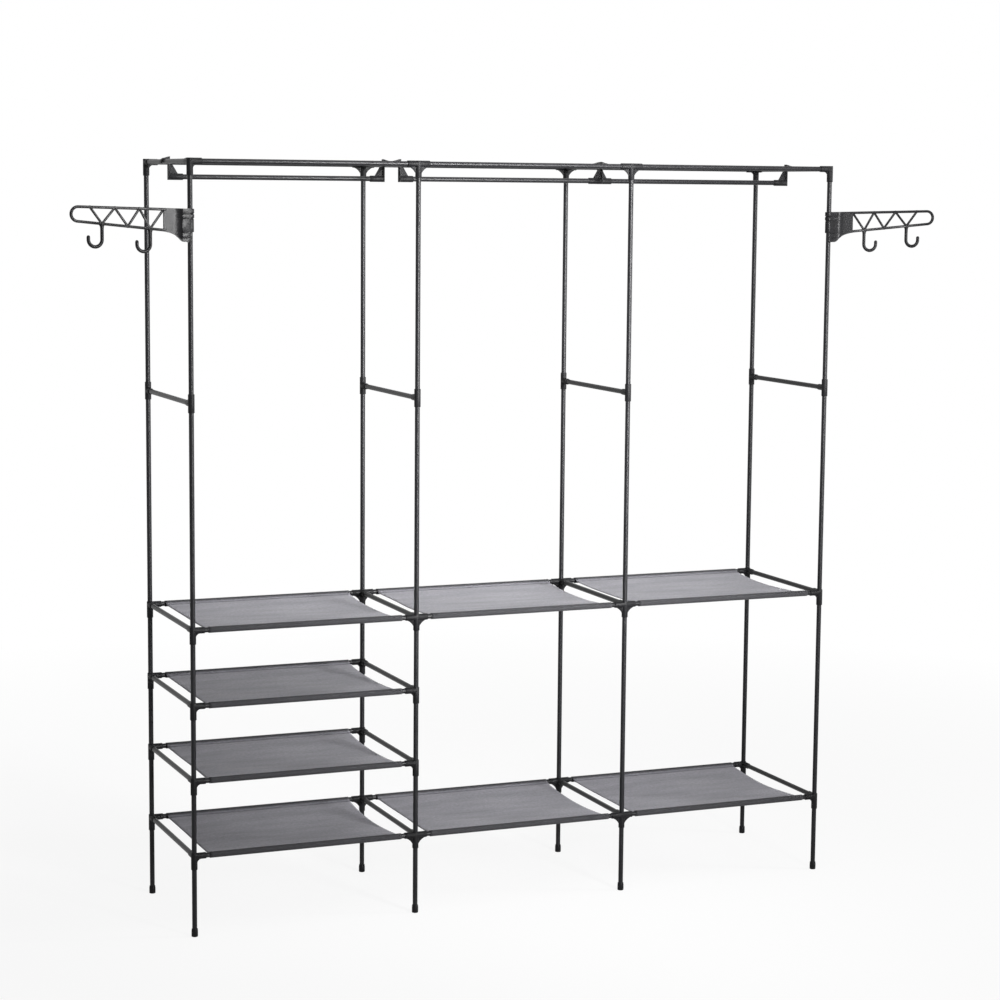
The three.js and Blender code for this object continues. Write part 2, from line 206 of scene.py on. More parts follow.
class Wiring:
    """Adds and joins the nodes of one material or world."""

    def __init__(self, holder: bpy.types.ID) -> None:
        """Empty the node tree that is to be wired.

        Args:
            holder: The material or world.
        """
        self.holder = holder
        self.holder.use_nodes = True
        self.tree = self.holder.node_tree
        self.tree.nodes.clear()

    def node(self, kind: str, inputs: dict | None = None, **settings: object) -> bpy.types.Node:
        """Add a node.

        Args:
            kind: Blender's name for the node, without the word ShaderNode.
            inputs: Values or output sockets for its inputs, by name or number.
            **settings: Properties of the node itself.

        Returns:
            The new node.
        """
        made = self.tree.nodes.new("ShaderNode" + kind)
        for key, value in settings.items():
            setattr(made, key, value)
        for key, value in (inputs or {}).items():
            if isinstance(value, Socket):
                self.tree.links.new(value, made.inputs[key])
            else:
                made.inputs[key].default_value = value
        return made

    def noise(self, where: Socket, scale: float, detail: float) -> Socket:
        """A noise pattern's value, with its scale in features per metre."""
        return self.node("TexNoise", {"Vector": where, "Scale": scale, "Detail": detail}).outputs["Fac"]

    def stretched(self, where: Socket, scale: Spot) -> Socket:
        """Coordinates drawn out along the axes."""
        return self.node("Mapping", {"Vector": where, "Scale": scale}).outputs["Vector"]

    def ranged(self, value: Socket, low: float, high: float, bottom: float, top: float) -> Socket:
        """Move a value from one range to another.

        Args:
            value: The value to move.
            low: Lowest value in.
            high: Highest value in.
            bottom: Value out at the lowest.
            top: Value out at the highest.

        Returns:
            The clamped value in its new range.
        """
        made = self.node(
            "MapRange",
            {"Value": value, "From Min": low, "From Max": high, "To Min": bottom, "To Max": top},
        )
        return made.outputs["Result"]

    def mixed(self, share: Socket, first: Socket | Colour, second: Socket | Colour) -> Socket:
        """Mix two colours.

        Args:
            share: How much of the second shows.
            first: Colour or socket shown at 0.
            second: Colour or socket shown at 1.

        Returns:
            The mixed colour.
        """
        inputs = {"Factor": share, MIX_FIRST: first, MIX_SECOND: second}
        return self.node("Mix", inputs, data_type="RGBA").outputs[MIX_RESULT]

    def summed(self, first: Socket, second: Socket, share: float) -> Socket:
        """The first value plus a share of the second."""
        made = self.node("Math", {0: second, 1: share, 2: first}, operation="MULTIPLY_ADD")
        return made.outputs["Value"]

    def either(self, first: Socket, second: Socket) -> Socket:
        """The larger of two values."""
        return self.node("Math", {0: first, 1: second}, operation="MAXIMUM").outputs["Value"]

    def close(self, surface: Socket) -> Material:
        """Join a surface to the output and hand the material over."""
        self.node("OutputMaterial", {"Surface": surface})
        return self.holder

    def coated(
        self, tone: Socket, rough: Socket, relief: tuple[Socket, float, float], gloss: dict[str, float]
    ) -> Material:
        """Close the material with a bumped surface.

        Args:
            tone: Its colour.
            rough: Its roughness.
            relief: The bump's height, depth in metres and strength.
            gloss: Values for other inputs of the surface, by name.

        Returns:
            The finished material.
        """
        height, depth, strength = relief
        bump = self.node("Bump", {"Strength": strength, "Distance": depth, "Height": height})
        look = {"Base Color": tone, "Roughness": rough, "Normal": bump.outputs["Normal"], **gloss}
        return self.close(self.node("BsdfPrincipled", look).outputs["BSDF"])


@dataclass(frozen=True)
class SatinPaint:
    """Satin stove paint on steel tube, with orange peel and a few rubbed marks."""

    name: str = "satin_tube_paint"
    deep: Colour = srgb(18, 18, 20)
    light: Colour = srgb(25, 25, 27)
    rubbed: Colour = srgb(52, 52, 56)
    smooth: float = 0.33
    dull: float = 0.42
    shine: float = 0.15
    peel_scale: float = 850.0
    peel_depth: float = 0.05 * MM
    peel_strength: float = 0.35
    cloud_scale: float = 24.0
    mark_scale: float = 260.0
    mark_stretch: Spot = (1.0, 1.0, 0.12)
    mark_band: Point = (0.66, 0.78)
    mark_share: float = 0.55
    mark_dullness: float = 0.2

    def material(self) -> Material:
        """Build the paint.

        Returns:
            The finished material.
        """
        wiring = Wiring(bpy.data.materials.new(self.name))
        where = wiring.node("TexCoord").outputs["Object"]
        peel = wiring.noise(where, self.peel_scale, 2.0)
        cloud = wiring.noise(where, self.cloud_scale, 3.0)
        tone = wiring.mixed(wiring.ranged(cloud, *NOISE_BAND, 0.0, 1.0), self.deep, self.light)
        along = wiring.noise(wiring.stretched(where, self.mark_stretch), self.mark_scale, 4.0)
        marks = wiring.ranged(along, *self.mark_band, 0.0, self.mark_share)
        tone = wiring.mixed(marks, tone, self.rubbed)
        satin = wiring.ranged(peel, *NOISE_BAND, self.smooth, self.dull)
        rough = wiring.summed(satin, marks, self.mark_dullness)
        relief = (peel, self.peel_depth, self.peel_strength)
        return wiring.coated(tone, rough, relief, {"Specular IOR Level": self.shine})


@dataclass(frozen=True)
class MouldedPlastic:
    """Spark textured moulded plastic for joints, feet, brackets, arms and thread."""

    name: str
    deep: Colour
    light: Colour
    smooth: float
    dull: float
    shine: float
    grain_scale: float = 2600.0
    grain_band: Point = (0.25, 0.75)
    grain_depth: float = 0.03 * MM
    grain_strength: float = 0.4
    flow_scale: float = 70.0
    flow_stretch: Spot = (1.0, 1.0, 0.4)
    sink_scale: float = 160.0
    sink_share: float = 0.8

    def material(self) -> Material:
        """Build the plastic.

        Returns:
            The finished material.
        """
        wiring = Wiring(bpy.data.materials.new(self.name))
        where = wiring.node("TexCoord").outputs["Object"]
        grain = wiring.noise(where, self.grain_scale, 3.0)
        flow = wiring.noise(wiring.stretched(where, self.flow_stretch), self.flow_scale, 4.0)
        tone = wiring.mixed(wiring.ranged(flow, *NOISE_BAND, 0.0, 1.0), self.deep, self.light)
        rough = wiring.ranged(grain, *self.grain_band, self.smooth, self.dull)
        sink = wiring.noise(where, self.sink_scale, 2.0)
        relief = (wiring.summed(grain, sink, self.sink_share), self.grain_depth, self.grain_strength)
        return wiring.coated(tone, rough, relief, {"Specular IOR Level": self.shine})


@dataclass(frozen=True)
class NonWovenCloth:
    """Point bonded non woven cloth: pressed dots, loose fibres, faint streaks, a sheen at low angles, and
    painted shade on the rail pockets and along the seams.
    """

    name: str = "non_woven_cloth"
    thin: Colour = srgb(121, 120, 126)
    dense: Colour = srgb(143, 142, 148)
    pressed: Colour = srgb(88, 87, 93)
    # Painted shade: a dark band along each seam line that stands in for the shadow in the seam's crease.
    seam: Colour = srgb(52, 52, 57)
    seam_share: float = 0.85
    # Painted shade: this near-black colour covers the pockets round the rails and stands in for the shade on
    # their front and under faces.
    pocket: Colour = srgb(22, 22, 24)
    pocket_share: float = 0.94
    pocket_dullness: float = 0.15
    smooth: float = 0.66
    dull: float = 0.78
    shine: float = 0.3
    sheen: float = 0.06
    sheen_spread: float = 0.35
    dot_pitch: float = 1.7 * MM
    dot_scatter: float = 0.12
    dot_band: Point = (0.16, 0.34)
    dot_share: float = 0.55
    fibre_scale: float = 1500.0
    fibre_stretch: Spot = (1.0, 3.0, 1.0)
    fibre_share: float = 0.7
    fibre_depth: float = 0.12 * MM
    fibre_strength: float = 0.45
    cloud_scale: float = 150.0
    streak_scale: float = 26.0
    streak_stretch: Spot = (0.22, 1.0, 1.0)
    streak_band: Point = (0.34, 0.66)
    streak_share: float = 0.42

    def material(self) -> Material:
        """Build the cloth.

        Returns:
            The finished material.
        """
        wiring = Wiring(bpy.data.materials.new(self.name))
        where = wiring.node("TexCoord").outputs["UV"]
        dots = wiring.node(
            "TexVoronoi",
            {"Vector": where, "Scale": 1 / self.dot_pitch, "Randomness": self.dot_scatter},
            voronoi_dimensions="2D",
        )
        dimple = wiring.ranged(dots.outputs["Distance"], *self.dot_band, 0.0, 1.0)
        fibre = wiring.noise(wiring.stretched(where, self.fibre_stretch), self.fibre_scale, 4.0)
        cloud = wiring.noise(where, self.cloud_scale, 4.0)
        streak = wiring.noise(wiring.stretched(where, self.streak_stretch), self.streak_scale, 3.0)
        tone = wiring.mixed(wiring.ranged(cloud, *NOISE_BAND, 0.0, 1.0), self.thin, self.dense)
        bonded = wiring.ranged(dimple, 0.0, 1.0, self.dot_share, 0.0)
        tone = wiring.mixed(bonded, tone, self.pressed)
        streaked = wiring.ranged(streak, *self.streak_band, 0.0, self.streak_share)
        tone = wiring.mixed(streaked, tone, self.pressed)
        # Painted shade: the pockets round the rails are darkened almost to black by their mask.
        pocket = wiring.node("Attribute", attribute_name="pocket").outputs["Fac"]
        tone = wiring.mixed(wiring.ranged(pocket, 0.0, 1.0, 0.0, self.pocket_share), tone, self.pocket)
        # Painted shade: a dark band along each seam line, from the seam mask.
        seam = wiring.node("Attribute", attribute_name="seam").outputs["Fac"]
        tone = wiring.mixed(wiring.ranged(seam, 0.0, 1.0, 0.0, self.seam_share), tone, self.seam)
        matt = wiring.ranged(fibre, *NOISE_BAND, self.smooth, self.dull)
        rough = wiring.summed(matt, pocket, self.pocket_dullness)
        relief = (wiring.summed(dimple, fibre, self.fibre_share), self.fibre_depth, self.fibre_strength)
        gloss = {
            "Specular IOR Level": self.shine,
            "Sheen Weight": self.sheen,
            "Sheen Roughness": self.sheen_spread,
        }
        return wiring.coated(tone, rough, relief, gloss)


@dataclass
class Finishes:
    """The finishes of the whole object, each built once."""

    paint: Material
    joint: Material
    arm: Material
    cloth: Material
    thread: Material


def mix_finishes() -> Finishes:
    """Build every finish.

    Returns:
        The finishes, ready to be put on pieces.
    """
    joint = MouldedPlastic(
        "joint_plastic", srgb(14, 14, 15), srgb(20, 20, 22), smooth=0.42, dull=0.56, shine=0.1
    )
    arm = MouldedPlastic(
        "arm_plastic", srgb(16, 16, 17), srgb(22, 22, 24),
        smooth=0.29, dull=0.37, shine=0.12, grain_scale=1500.0,
    )
    thread = MouldedPlastic(
        "seam_thread", srgb(60, 60, 65), srgb(84, 84, 90),
        smooth=0.5, dull=0.7, shine=0.2, grain_scale=3000.0,
    )
    return Finishes(
        paint=SatinPaint().material(),
        joint=joint.material(),
        arm=arm.material(),
        cloth=NonWovenCloth().material(),
        thread=thread.material(),
    )


class Pen:
    """Draws a line of edges with runs and arcs, in a plane that faces one axis."""

    def __init__(self, mesh: Mesh, start: Point, across: str = "y") -> None:
        """Put the pen down.

        Args:
            mesh: The mesh to draw in.
            start: First point, as (across, up) in the plane.
            across: Axis that the plane faces: y for outlines, x for cloth paths, z for plans.
        """
        self.mesh = mesh
        self.across = across
        self.first = mesh.verts.new(self.place(start))
        self.tip = self.first

    def place(self, point: Point) -> Vector:
        """A point of the plane in space.

        Args:
            point: The point, as (across, up) in the plane.

        Returns:
            The point in space.
        """
        one, two = point
        spots = {"x": (0.0, one, two), "y": (one, 0.0, two), "z": (one, two, 0.0)}
        return Vector(spots[self.across])

    def edge_to(self, spot: Vector) -> None:
        """Draw one edge straight to a spot in space.

        Args:
            spot: Where it ends.
        """
        made = bmesh.ops.extrude_vert_indiv(self.mesh, verts=[self.tip])
        self.tip = made["verts"][0]
        self.tip.co = spot

    def run(self, *points: Point) -> "Pen":
        """Draw straight to each point in turn.

        Args:
            *points: The points in the plane.

        Returns:
            The pen.
        """
        for point in points:
            self.edge_to(self.place(point))
        return self

    def steps(self, point: Point, count: int) -> "Pen":
        """Draw straight to a point in equal steps.

        Args:
            point: The point in the plane.
            count: How many steps.

        Returns:
            The pen.
        """
        start, end = self.tip.co.copy(), self.place(point)
        for step in range(1, count + 1):
            self.edge_to(start.lerp(end, step / count))
        return self

    def bow(self, corner: Point, point: Point, count: int) -> "Pen":
        """Draw a curve to a point.

        Args:
            corner: The point that the curve is pulled towards and doesn't reach.
            point: Where it ends in the plane.
            count: How many steps.

        Returns:
            The pen.
        """
        start, middle, end = self.tip.co.copy(), self.place(corner), self.place(point)
        for step in range(1, count + 1):
            share = step / count
            self.edge_to(start.lerp(middle, share).lerp(middle.lerp(end, share), share))
        return self

    def arc(self, centre: Point, degrees: float, count: int) -> "Pen":
        """Draw round a centre.

        Args:
            centre: The centre in the plane.
            degrees: How far, counter-clockwise in the plane where it is positive.
            count: How many steps.

        Returns:
            The pen.
        """
        turn = -math.radians(degrees) if self.across == "y" else math.radians(degrees)
        axis = {"x": (1, 0, 0), "y": (0, 1, 0), "z": (0, 0, 1)}[self.across]
        made = bmesh.ops.spin(
            self.mesh, geom=[self.tip], cent=self.place(centre), axis=axis, angle=turn, steps=count
        )
        self.tip = first_of(made["geom_last"], Vert)
        return self

    def close(self) -> None:
        """Join the tip to the start."""
        if (self.tip.co - self.first.co).length > WELD:
            self.mesh.edges.new((self.tip, self.first))
        bmesh.ops.remove_doubles(self.mesh, verts=self.mesh.verts[:], dist=WELD)


def first_of(items: Iterable, kind: type) -> Vert | Face:
    """The first item of a kind in what an operator hands back."""
    return next(item for item in items if isinstance(item, kind))


def sole_face(mesh: Mesh) -> Face:
    """The one face of a mesh that has only one."""
    return next(iter(mesh.faces))


def tidy(mesh: Mesh) -> Mesh:
    """Merge doubles and turn the faces of a closed shape outwards.

    Args:
        mesh: The shape.

    Returns:
        The same shape.
    """
    bmesh.ops.remove_doubles(mesh, verts=mesh.verts[:], dist=WELD)
    bmesh.ops.recalc_face_normals(mesh, faces=mesh.faces[:])
    return mesh


def rounded(mesh: Mesh, edges: Iterable[bmesh.types.BMEdge], size: float, segments: int = 2) -> None:
    """Round some edges of a mesh.

    Args:
        mesh: The shape.
        edges: Its edges to round.
        size: How far the rounding reaches from the edge.
        segments: Steps across the rounding.
    """
    bmesh.ops.bevel(
        mesh, geom=list(edges), offset=size, offset_type="OFFSET", segments=segments,
        profile=0.5, affect="EDGES", material=-1, clamp_overlap=True,
    )


def drawn(mesh: Mesh, face: Face, way: Vector) -> Face:
    """Draw a shape on from one of its faces.

    Args:
        mesh: The shape.
        face: The face to draw on from.
        way: How far, and in which direction.

    Returns:
        The new end face.
    """
    made = bmesh.ops.extrude_face_region(mesh, geom=[face])
    end = first_of(made["geom"], Face)
    bmesh.ops.translate(mesh, verts=end.verts[:], vec=way)
    return end


def bent(mesh: Mesh, face: Face, centre: Spot, angle: float, count: int) -> Face:
    """Draw a bar on from its end face in a bend about the Y axis.

    Args:
        mesh: The bar.
        face: The face to draw on from.
        centre: The bend's centre.
        angle: How far, in radians.
        count: How many steps.

    Returns:
        The new end face.
    """
    made = bmesh.ops.spin(
        mesh, geom=[face, *face.edges, *face.verts], cent=centre, axis=(0, 1, 0), angle=angle, steps=count
    )
    return first_of(made["geom_last"], Face)


def turned(profile: Sequence[Point], sides: int = 32, hollow: bool = True) -> Mesh:
    """Turn a half outline about Z.

    Args:
        profile: Points of radius and height. A solid shape's ends lie on the axis.
        sides: Steps round the axis.
        hollow: Whether the outline closes on itself away from the axis.

    Returns:
        The closed shape.
    """
    mesh = bmesh.new()
    pen = Pen(mesh, profile[0]).run(*profile[1:])
    if hollow:
        pen.close()
    bmesh.ops.spin(
        mesh, geom=mesh.verts[:] + mesh.edges[:], cent=(0, 0, 0), axis=(0, 0, 1),
        angle=math.tau, steps=sides, use_merge=True,
    )
    return tidy(mesh)


def plate(draw: Callable[[Mesh], None], thickness: float, rounding: float = 0.0) -> Mesh:
    """A flat plate from an outline in reach and height, centred on the plane of its outline.

    Args:
        draw: Draws the closed outline in the mesh that it is given.
        thickness: Thickness across the outline.
        rounding: Radius of the plate's edges, or 0 for sharp ones.

    Returns:
        The closed plate.
    """
    mesh = bmesh.new()
    draw(mesh)
    bmesh.ops.contextual_create(mesh, geom=mesh.edges[:])
    outline = sole_face(mesh)
    outline.normal_update()
    across = outline.normal.copy()
    bmesh.ops.translate(mesh, verts=mesh.verts[:], vec=across * (-thickness / 2))
    drawn(mesh, outline, across * thickness)
    tidy(mesh)
    if rounding:
        caps = sorted(mesh.faces, key=lambda face: -face.calc_area())[:2]
        rounded(mesh, {edge for face in caps for edge in face.edges}, rounding)
        tidy(mesh)
    return mesh


def round_bar(radius: float, low: float, high: float, sides: int = 32, rounding: float = 0.0) -> Mesh:
    """A solid round bar along Z.

    Args:
        radius: Its radius.
        low: Height of its lower end.
        high: Height of its upper end.
        sides: Steps round it.
        rounding: Size of its rounded rims, or 0 for sharp ones.

    Returns:
        The closed bar.
    """
    if rounding:
        inset = RIM_INSET * rounding
        soft = [
            (0.0, low), (radius - rounding, low), (radius - inset, low + inset),
            (radius, low + rounding), (radius, high - rounding),
            (radius - inset, high - inset), (radius - rounding, high), (0.0, high),
        ]
        return turned(soft, sides, hollow=False)
    return turned([(0.0, low), (radius, low), (radius, high), (0.0, high)], sides, hollow=False)


def block(wide: float, deep: float, tall: float) -> Mesh:
    """A square block about the origin.

    Args:
        wide: Its size along X.
        deep: Its size along Y.
        tall: Its size along Z.

    Returns:
        The closed block.
    """
    mesh = bmesh.new()
    bmesh.ops.create_cube(mesh, size=1.0)
    bmesh.ops.scale(mesh, vec=(wide, deep, tall), verts=mesh.verts[:])
    return mesh


def moved(mesh: Mesh, matrix: Matrix) -> Mesh:
    """Move a whole mesh by a matrix."""
    bmesh.ops.transform(mesh, matrix=matrix, verts=mesh.verts[:])
    return mesh


def copied(mesh: Mesh, matrix: Matrix) -> Mesh:
    """A moved copy of a mesh."""
    return moved(mesh.copy(), matrix)


def about_z(degrees: float) -> Matrix:
    """A turn about the Z axis."""
    return Matrix.Rotation(math.radians(degrees), 4, "Z")


def laid(mesh: Mesh, heading: float) -> Mesh:
    """Lay a shape made along Z down along +X, and turn it to a heading in degrees."""
    return moved(mesh, about_z(heading) @ Matrix.Rotation(math.pi / 2, 4, "Y"))


def loose(name: str, mesh: Mesh) -> bpy.types.Object:
    """Put a mesh in the scene as a bare object.

    Args:
        name: The object's name.
        mesh: The shape. It is used up.

    Returns:
        The object.
    """
    data = bpy.data.meshes.new(name)
    mesh.to_mesh(data)
    mesh.free()
    made = bpy.data.objects.new(name, data)
    bpy.context.scene.collection.objects.link(made)
    return made


def combined(base: Mesh, part: Mesh, how: Combine = Combine.ADD) -> Mesh:
    """Join, cut or intersect two closed shapes.

    Args:
        base: The shape that is kept. It is used up.
        part: The shape that is added, cut away or kept in common. It is used up.
        how: What to do.

    Returns:
        The new shape.
    """
    holder, tool = loose("bench_base", base), loose("bench_tool", part)
    step = holder.modifiers.new("join", "BOOLEAN")
    step.operation, step.object, step.solver = how.value, tool, "EXACT"
    result = bmesh.new()
    result.from_object(holder, bpy.context.evaluated_depsgraph_get())
    for done in (holder, tool):
        data = done.data
        bpy.data.objects.remove(done)
        bpy.data.meshes.remove(data)
    bmesh.ops.remove_doubles(result, verts=result.verts[:], dist=WELD)
    return result


def united(parts: Sequence[Mesh], cuts: Sequence[Mesh] = ()) -> Mesh:
    """One shape from several, with others cut away.

    Args:
        parts: The shapes to join. They are used up.
        cuts: The shapes to cut away. They are used up.

    Returns:
        The new shape.
    """
    whole = parts[0]
    for part in parts[1:]:
        whole = combined(whole, part)
    for cut in cuts:
        whole = combined(whole, cut, Combine.CUT)
    return whole


@dataclass
class Piece:
    """One finished piece of the object."""

    name: str
    body: str
    slot: Slot
    nodes: tuple[str, ...]
    finish: Material
    crease: float = 32.0

    def made_from(self, mesh: Mesh) -> bpy.types.Object:
        """Turn a mesh into the piece, and hang it on its body.

        Args:
            mesh: The shape, in place in the row frame. It is used up.

        Returns:
            The piece's object.
        """
        for face in mesh.faces:
            face.smooth = True
        for edge in mesh.edges:
            edge.smooth = not edge.is_manifold or edge.calc_face_angle(0.0) < math.radians(self.crease)
        made = loose(self.name, mesh)
        made.data.materials.append(self.finish)
        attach(made, self.body)
        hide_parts(*self.nodes)
        return made


@dataclass
class TubeStock:
    """Painted steel tube, cut to length."""

    radius: float = 5.5 * MM
    wall: float = 0.6 * MM
    burr: float = 0.15 * MM
    sides: int = 32

    def length(self, low: float, high: float) -> Mesh:
        """A tube along Z with its cut ends deburred.

        Args:
            low: Height of its lower end.
            high: Height of its upper end.

        Returns:
            The tube.
        """
        inner, outer = self.radius - self.wall, self.radius
        return turned(
            [
                (inner, low), (outer - self.burr, low), (outer, low + self.burr),
                (outer, high - self.burr), (outer - self.burr, high), (inner, high),
            ],
            self.sides,
        )

    def upright(self, foot: Vector, low: float, high: float) -> Mesh:
        """A tube that stands on a post's axis."""
        return moved(self.length(low, high), Matrix.Translation((foot.x, foot.y, 0.0)))

    def flat(self, start: Vector, reach: float, heading: float) -> Mesh:
        """A level tube from a point, along a heading in degrees."""
        return moved(laid(self.length(0.0, reach), heading), Matrix.Translation(start))


@dataclass(frozen=True)
class Web:
    """A hollow-edged web: its reach under the socket, its drop down the sleeve, and its edge's bend."""

    reach: float
    drop: float
    bend: float


@dataclass
class JointMould:
    """The push-fit joint: a sleeve down the post, sockets for the tubes, and webs between them."""

    bore: float = 5.8 * MM
    outer: float = 7.1 * MM
    reach: float = 26 * MM
    stop: float = 9 * MM
    drop: float = 30 * MM
    seat: float = 1.2 * MM
    corner_web: Web = Web(19 * MM, 19 * MM, 6.6 * MM)
    tee_web: Web = Web(24.7 * MM, 23 * MM, 10.5 * MM)
    brace_web: Web = Web(12 * MM, 12 * MM, 6.2 * MM)
    web_thickness: float = 4.5 * MM
    web_rounding: float = 0.7 * MM
    web_steps: int = 10
    brace_sleeve: float = 20 * MM
    rim: float = 0.6 * MM
    peg: float = 4.6 * MM
    peg_rise: float = 24 * MM
    peg_sides: int = 20
    sides: int = 32
    overrun: float = 2 * MM
    store: dict = field(default_factory=dict)

    def web(self, web: Web, heading: float, upward: bool) -> Mesh:
        """A hollow-edged web in the corner between the sleeve and a socket.

        Args:
            web: Its sizes.
            heading: The way that the socket faces, in degrees.
            upward: Whether it stands on the socket, and not under it.

        Returns:
            The web's shape.
        """
        def outline(mesh: Mesh) -> None:
            """Draw the web from the joint's centre.

            Args:
                mesh: The mesh to draw in.
            """
            pen = Pen(mesh, (0.0, 0.0)).run((web.reach, 0.0), (web.reach, -self.bore))
            pen.bow((web.bend, -web.bend), (self.bore, -web.drop), self.web_steps)
            pen.run((0.0, -web.drop)).close()

        made = plate(outline, self.web_thickness, self.web_rounding)
        if upward:
            moved(made, Matrix.Rotation(math.pi, 4, "X"))
        return moved(made, about_z(heading))

    def socket(self, heading: float) -> Mesh:
        """The outside of one level socket."""
        return laid(round_bar(self.outer, 0.0, self.reach, self.sides, self.rim), heading)

    def socket_bore(self, heading: float) -> Mesh:
        """What is cut out of a level socket."""
        return laid(round_bar(self.bore, self.stop, self.reach + self.overrun, self.sides), heading)

    def build(self, level: Level, headings: tuple[int, ...]) -> Mesh:
        """One joint at the origin.

        Args:
            level: The level, which decides the sleeve and the webs.
            headings: The ways that its sockets face, in degrees.

        Returns:
            The joint's shape.
        """
        brace = level is Level.BRACE
        low = -self.brace_sleeve if brace else -self.drop
        high = self.brace_sleeve if brace else self.outer
        parts = [round_bar(self.outer, low, high, self.sides, self.rim)]
        cuts = []
        for heading in headings:
            parts.append(self.socket(heading))
            tee = (heading + 180) % 360 in headings
            web = self.brace_web if brace else self.tee_web if tee else self.corner_web
            parts.append(self.web(web, heading, upward=False))
            if brace:
                parts.append(self.web(web, heading, upward=True))
            cuts.append(self.socket_bore(heading))
        floor = -self.seat if brace else -self.stop
        cuts.append(round_bar(self.bore, low - self.overrun, floor, self.sides))
        if level is Level.TOP:
            return united(parts, cuts)
        cuts.append(round_bar(self.bore, self.seat, high + self.overrun, self.sides))
        peg = round_bar(self.peg, 0.0, self.peg_rise, self.peg_sides, self.rim)
        return combined(united(parts, cuts), peg)

    def joint(self, level: Level, headings: tuple[int, ...], place: Vector) -> Mesh:
        """A joint in its place, from a shape that is built once for each kind.

        Args:
            level: The joint's level.
            headings: The ways that its sockets face, in degrees.
            place: The point where the tubes' axes meet.

        Returns:
            The joint's shape in the row frame.
        """
        turn = headings[0]
        kind = "shelf" if level not in (Level.BRACE, Level.TOP) else level.word
        pattern = tuple((heading - turn) % 360 for heading in headings)
        if (kind, pattern) not in self.store:
            self.store[kind, pattern] = self.build(level, pattern)
        return copied(self.store[kind, pattern], Matrix.Translation(place) @ about_z(turn))


@dataclass
class PostRow:
    """The eight posts: their tubes, joints and feet."""

    layout: Layout
    stock: TubeStock
    mould: JointMould
    finishes: Finishes
    # Radius and height of each corner of the foot, from the middle of its sole to its rim.
    foot_outline: tuple[Point, ...] = (
        (0.0, 0.0), (5.6 * MM, 0.0), (6.7 * MM, 0.5 * MM), (7.2 * MM, 1.7 * MM), (7.2 * MM, 13 * MM),
        (7.05 * MM, 14 * MM), (6.7 * MM, 17.5 * MM), (6.5 * MM, 18 * MM),
    )
    foot_floor: float = 3 * MM
    foot_slack: float = 0.05 * MM
    end_gap: float = 0.3 * MM
    floor_gap: float = 0.1 * MM
    joint_crease: float = 40.0

    def headings(self, index: int, row: Row, level: Level) -> tuple[int, ...]:
        """The ways that a joint's sockets face.

        Args:
            index: The post's number, from 0 at the left end.
            row: Its row.
            level: The joint's level.

        Returns:
            The headings in degrees, in order of turn from the first.
        """
        inward = Heading.BACK if row is Row.FRONT else Heading.FRONT
        if level is Level.BRACE:
            return (inward.value,)
        left = [Heading.LEFT.value] if self.layout.railed(index - 1, level) else []
        right = [Heading.RIGHT.value] if self.layout.railed(index, level) else []
        if row is Row.FRONT:
            return tuple(right + [inward.value] + left)
        return tuple(left + [inward.value] + right)

    def foot(self) -> Mesh:
        """The cap under a post, hollow above its floor.

        Returns:
            The cap's shape, on the floor at the origin.
        """
        bore, rim = self.stock.radius + self.foot_slack, self.foot_outline[-1][1]
        inside = [(bore, rim), (bore, self.foot_floor), (0.0, self.foot_floor)]
        return turned([*self.foot_outline, *inside], hollow=False)

    def post(self, index: int, row: Row, foot: Mesh) -> int:
        """Make one post from the floor up.

        Args:
            index: The post's number, from 0 at the left end.
            row: Its row.
            foot: The foot cap's shape, which is copied.

        Returns:
            How many pieces were made.
        """
        label = f"{row.value}_{index + 1}"
        node = f"post_{label}"
        stand = self.layout.place(index, row, 0.0)
        Piece(f"foot_{label}", "frame", Slot.BRACKET, (node,), self.finishes.joint).made_from(
            copied(foot, Matrix.Translation(stand))
        )
        made = 1
        low, below = self.foot_floor + self.floor_gap, "foot"
        for level in self.layout.levels(index):
            height = level.value
            nodes = ("top_frame",) if level is Level.TOP else (node,)
            joint = self.mould.joint(
                level, self.headings(index, row, level), self.layout.place(index, row, height)
            )
            Piece(
                f"joint_{label}_{level.word}", "frame", Slot.BRACKET, nodes,
                self.finishes.joint, self.joint_crease,
            ).made_from(joint)
            stop = self.mould.seat if level is Level.BRACE else self.mould.stop
            tube = self.stock.upright(stand, low, height - stop - self.end_gap)
            Piece(
                f"upright_{label}_{below}", "frame", Slot.TUBE, (node,), self.finishes.paint
            ).made_from(tube)
            made += 2
            low, below = height + self.mould.seat + self.end_gap, level.word
        return made

    def build(self) -> int:
        """Make every post.

        Returns:
            How many pieces were made.
        """
        foot = self.foot()
        return sum(self.post(index, row, foot) for row in Row for index in range(self.layout.posts))


@dataclass
class Rails:
    """The level tubes: rails along the front and back, and cross tubes from front to back."""

    layout: Layout
    stock: TubeStock
    finishes: Finishes
    end_gap: float = 9.3 * MM

    def piece(self, name: str, node: str, tube: Mesh) -> None:
        """Finish one tube."""
        Piece(name, "frame", Slot.TUBE, (node,), self.finishes.paint).made_from(tube)

    def build(self) -> int:
        """Make every rail and cross tube.

        Returns:
            How many pieces were made.
        """
        made = 0
        span = self.layout.bay_width - 2 * self.end_gap
        for row in Row:
            for bay in Bay:
                for level in (*bay.levels, Level.TOP):
                    start = self.layout.place(bay.value, row, level.value) + Vector((self.end_gap, 0, 0))
                    label = f"{row.value}_{bay.word}_{level.word}"
                    node = "top_frame" if level is Level.TOP else f"rail_{label}"
                    self.piece(f"railtube_{label}", node, self.stock.flat(start, span, Heading.RIGHT.value))
                    made += 1
        reach = self.layout.depth - 2 * self.end_gap
        for index in range(self.layout.posts):
            for level in self.layout.levels(index):
                start = self.layout.place(index, Row.FRONT, level.value) + Vector((0, self.end_gap, 0))
                label = f"{index + 1}_{level.word}"
                node = {
                    Level.TOP: "top_frame",
                    Level.BRACE: f"cross_brace_{index + 1}",
                }.get(level, f"cross_tube_{label}")
                self.piece(f"crosstube_{label}", node, self.stock.flat(start, reach, Heading.BACK.value))
                made += 1
        return made


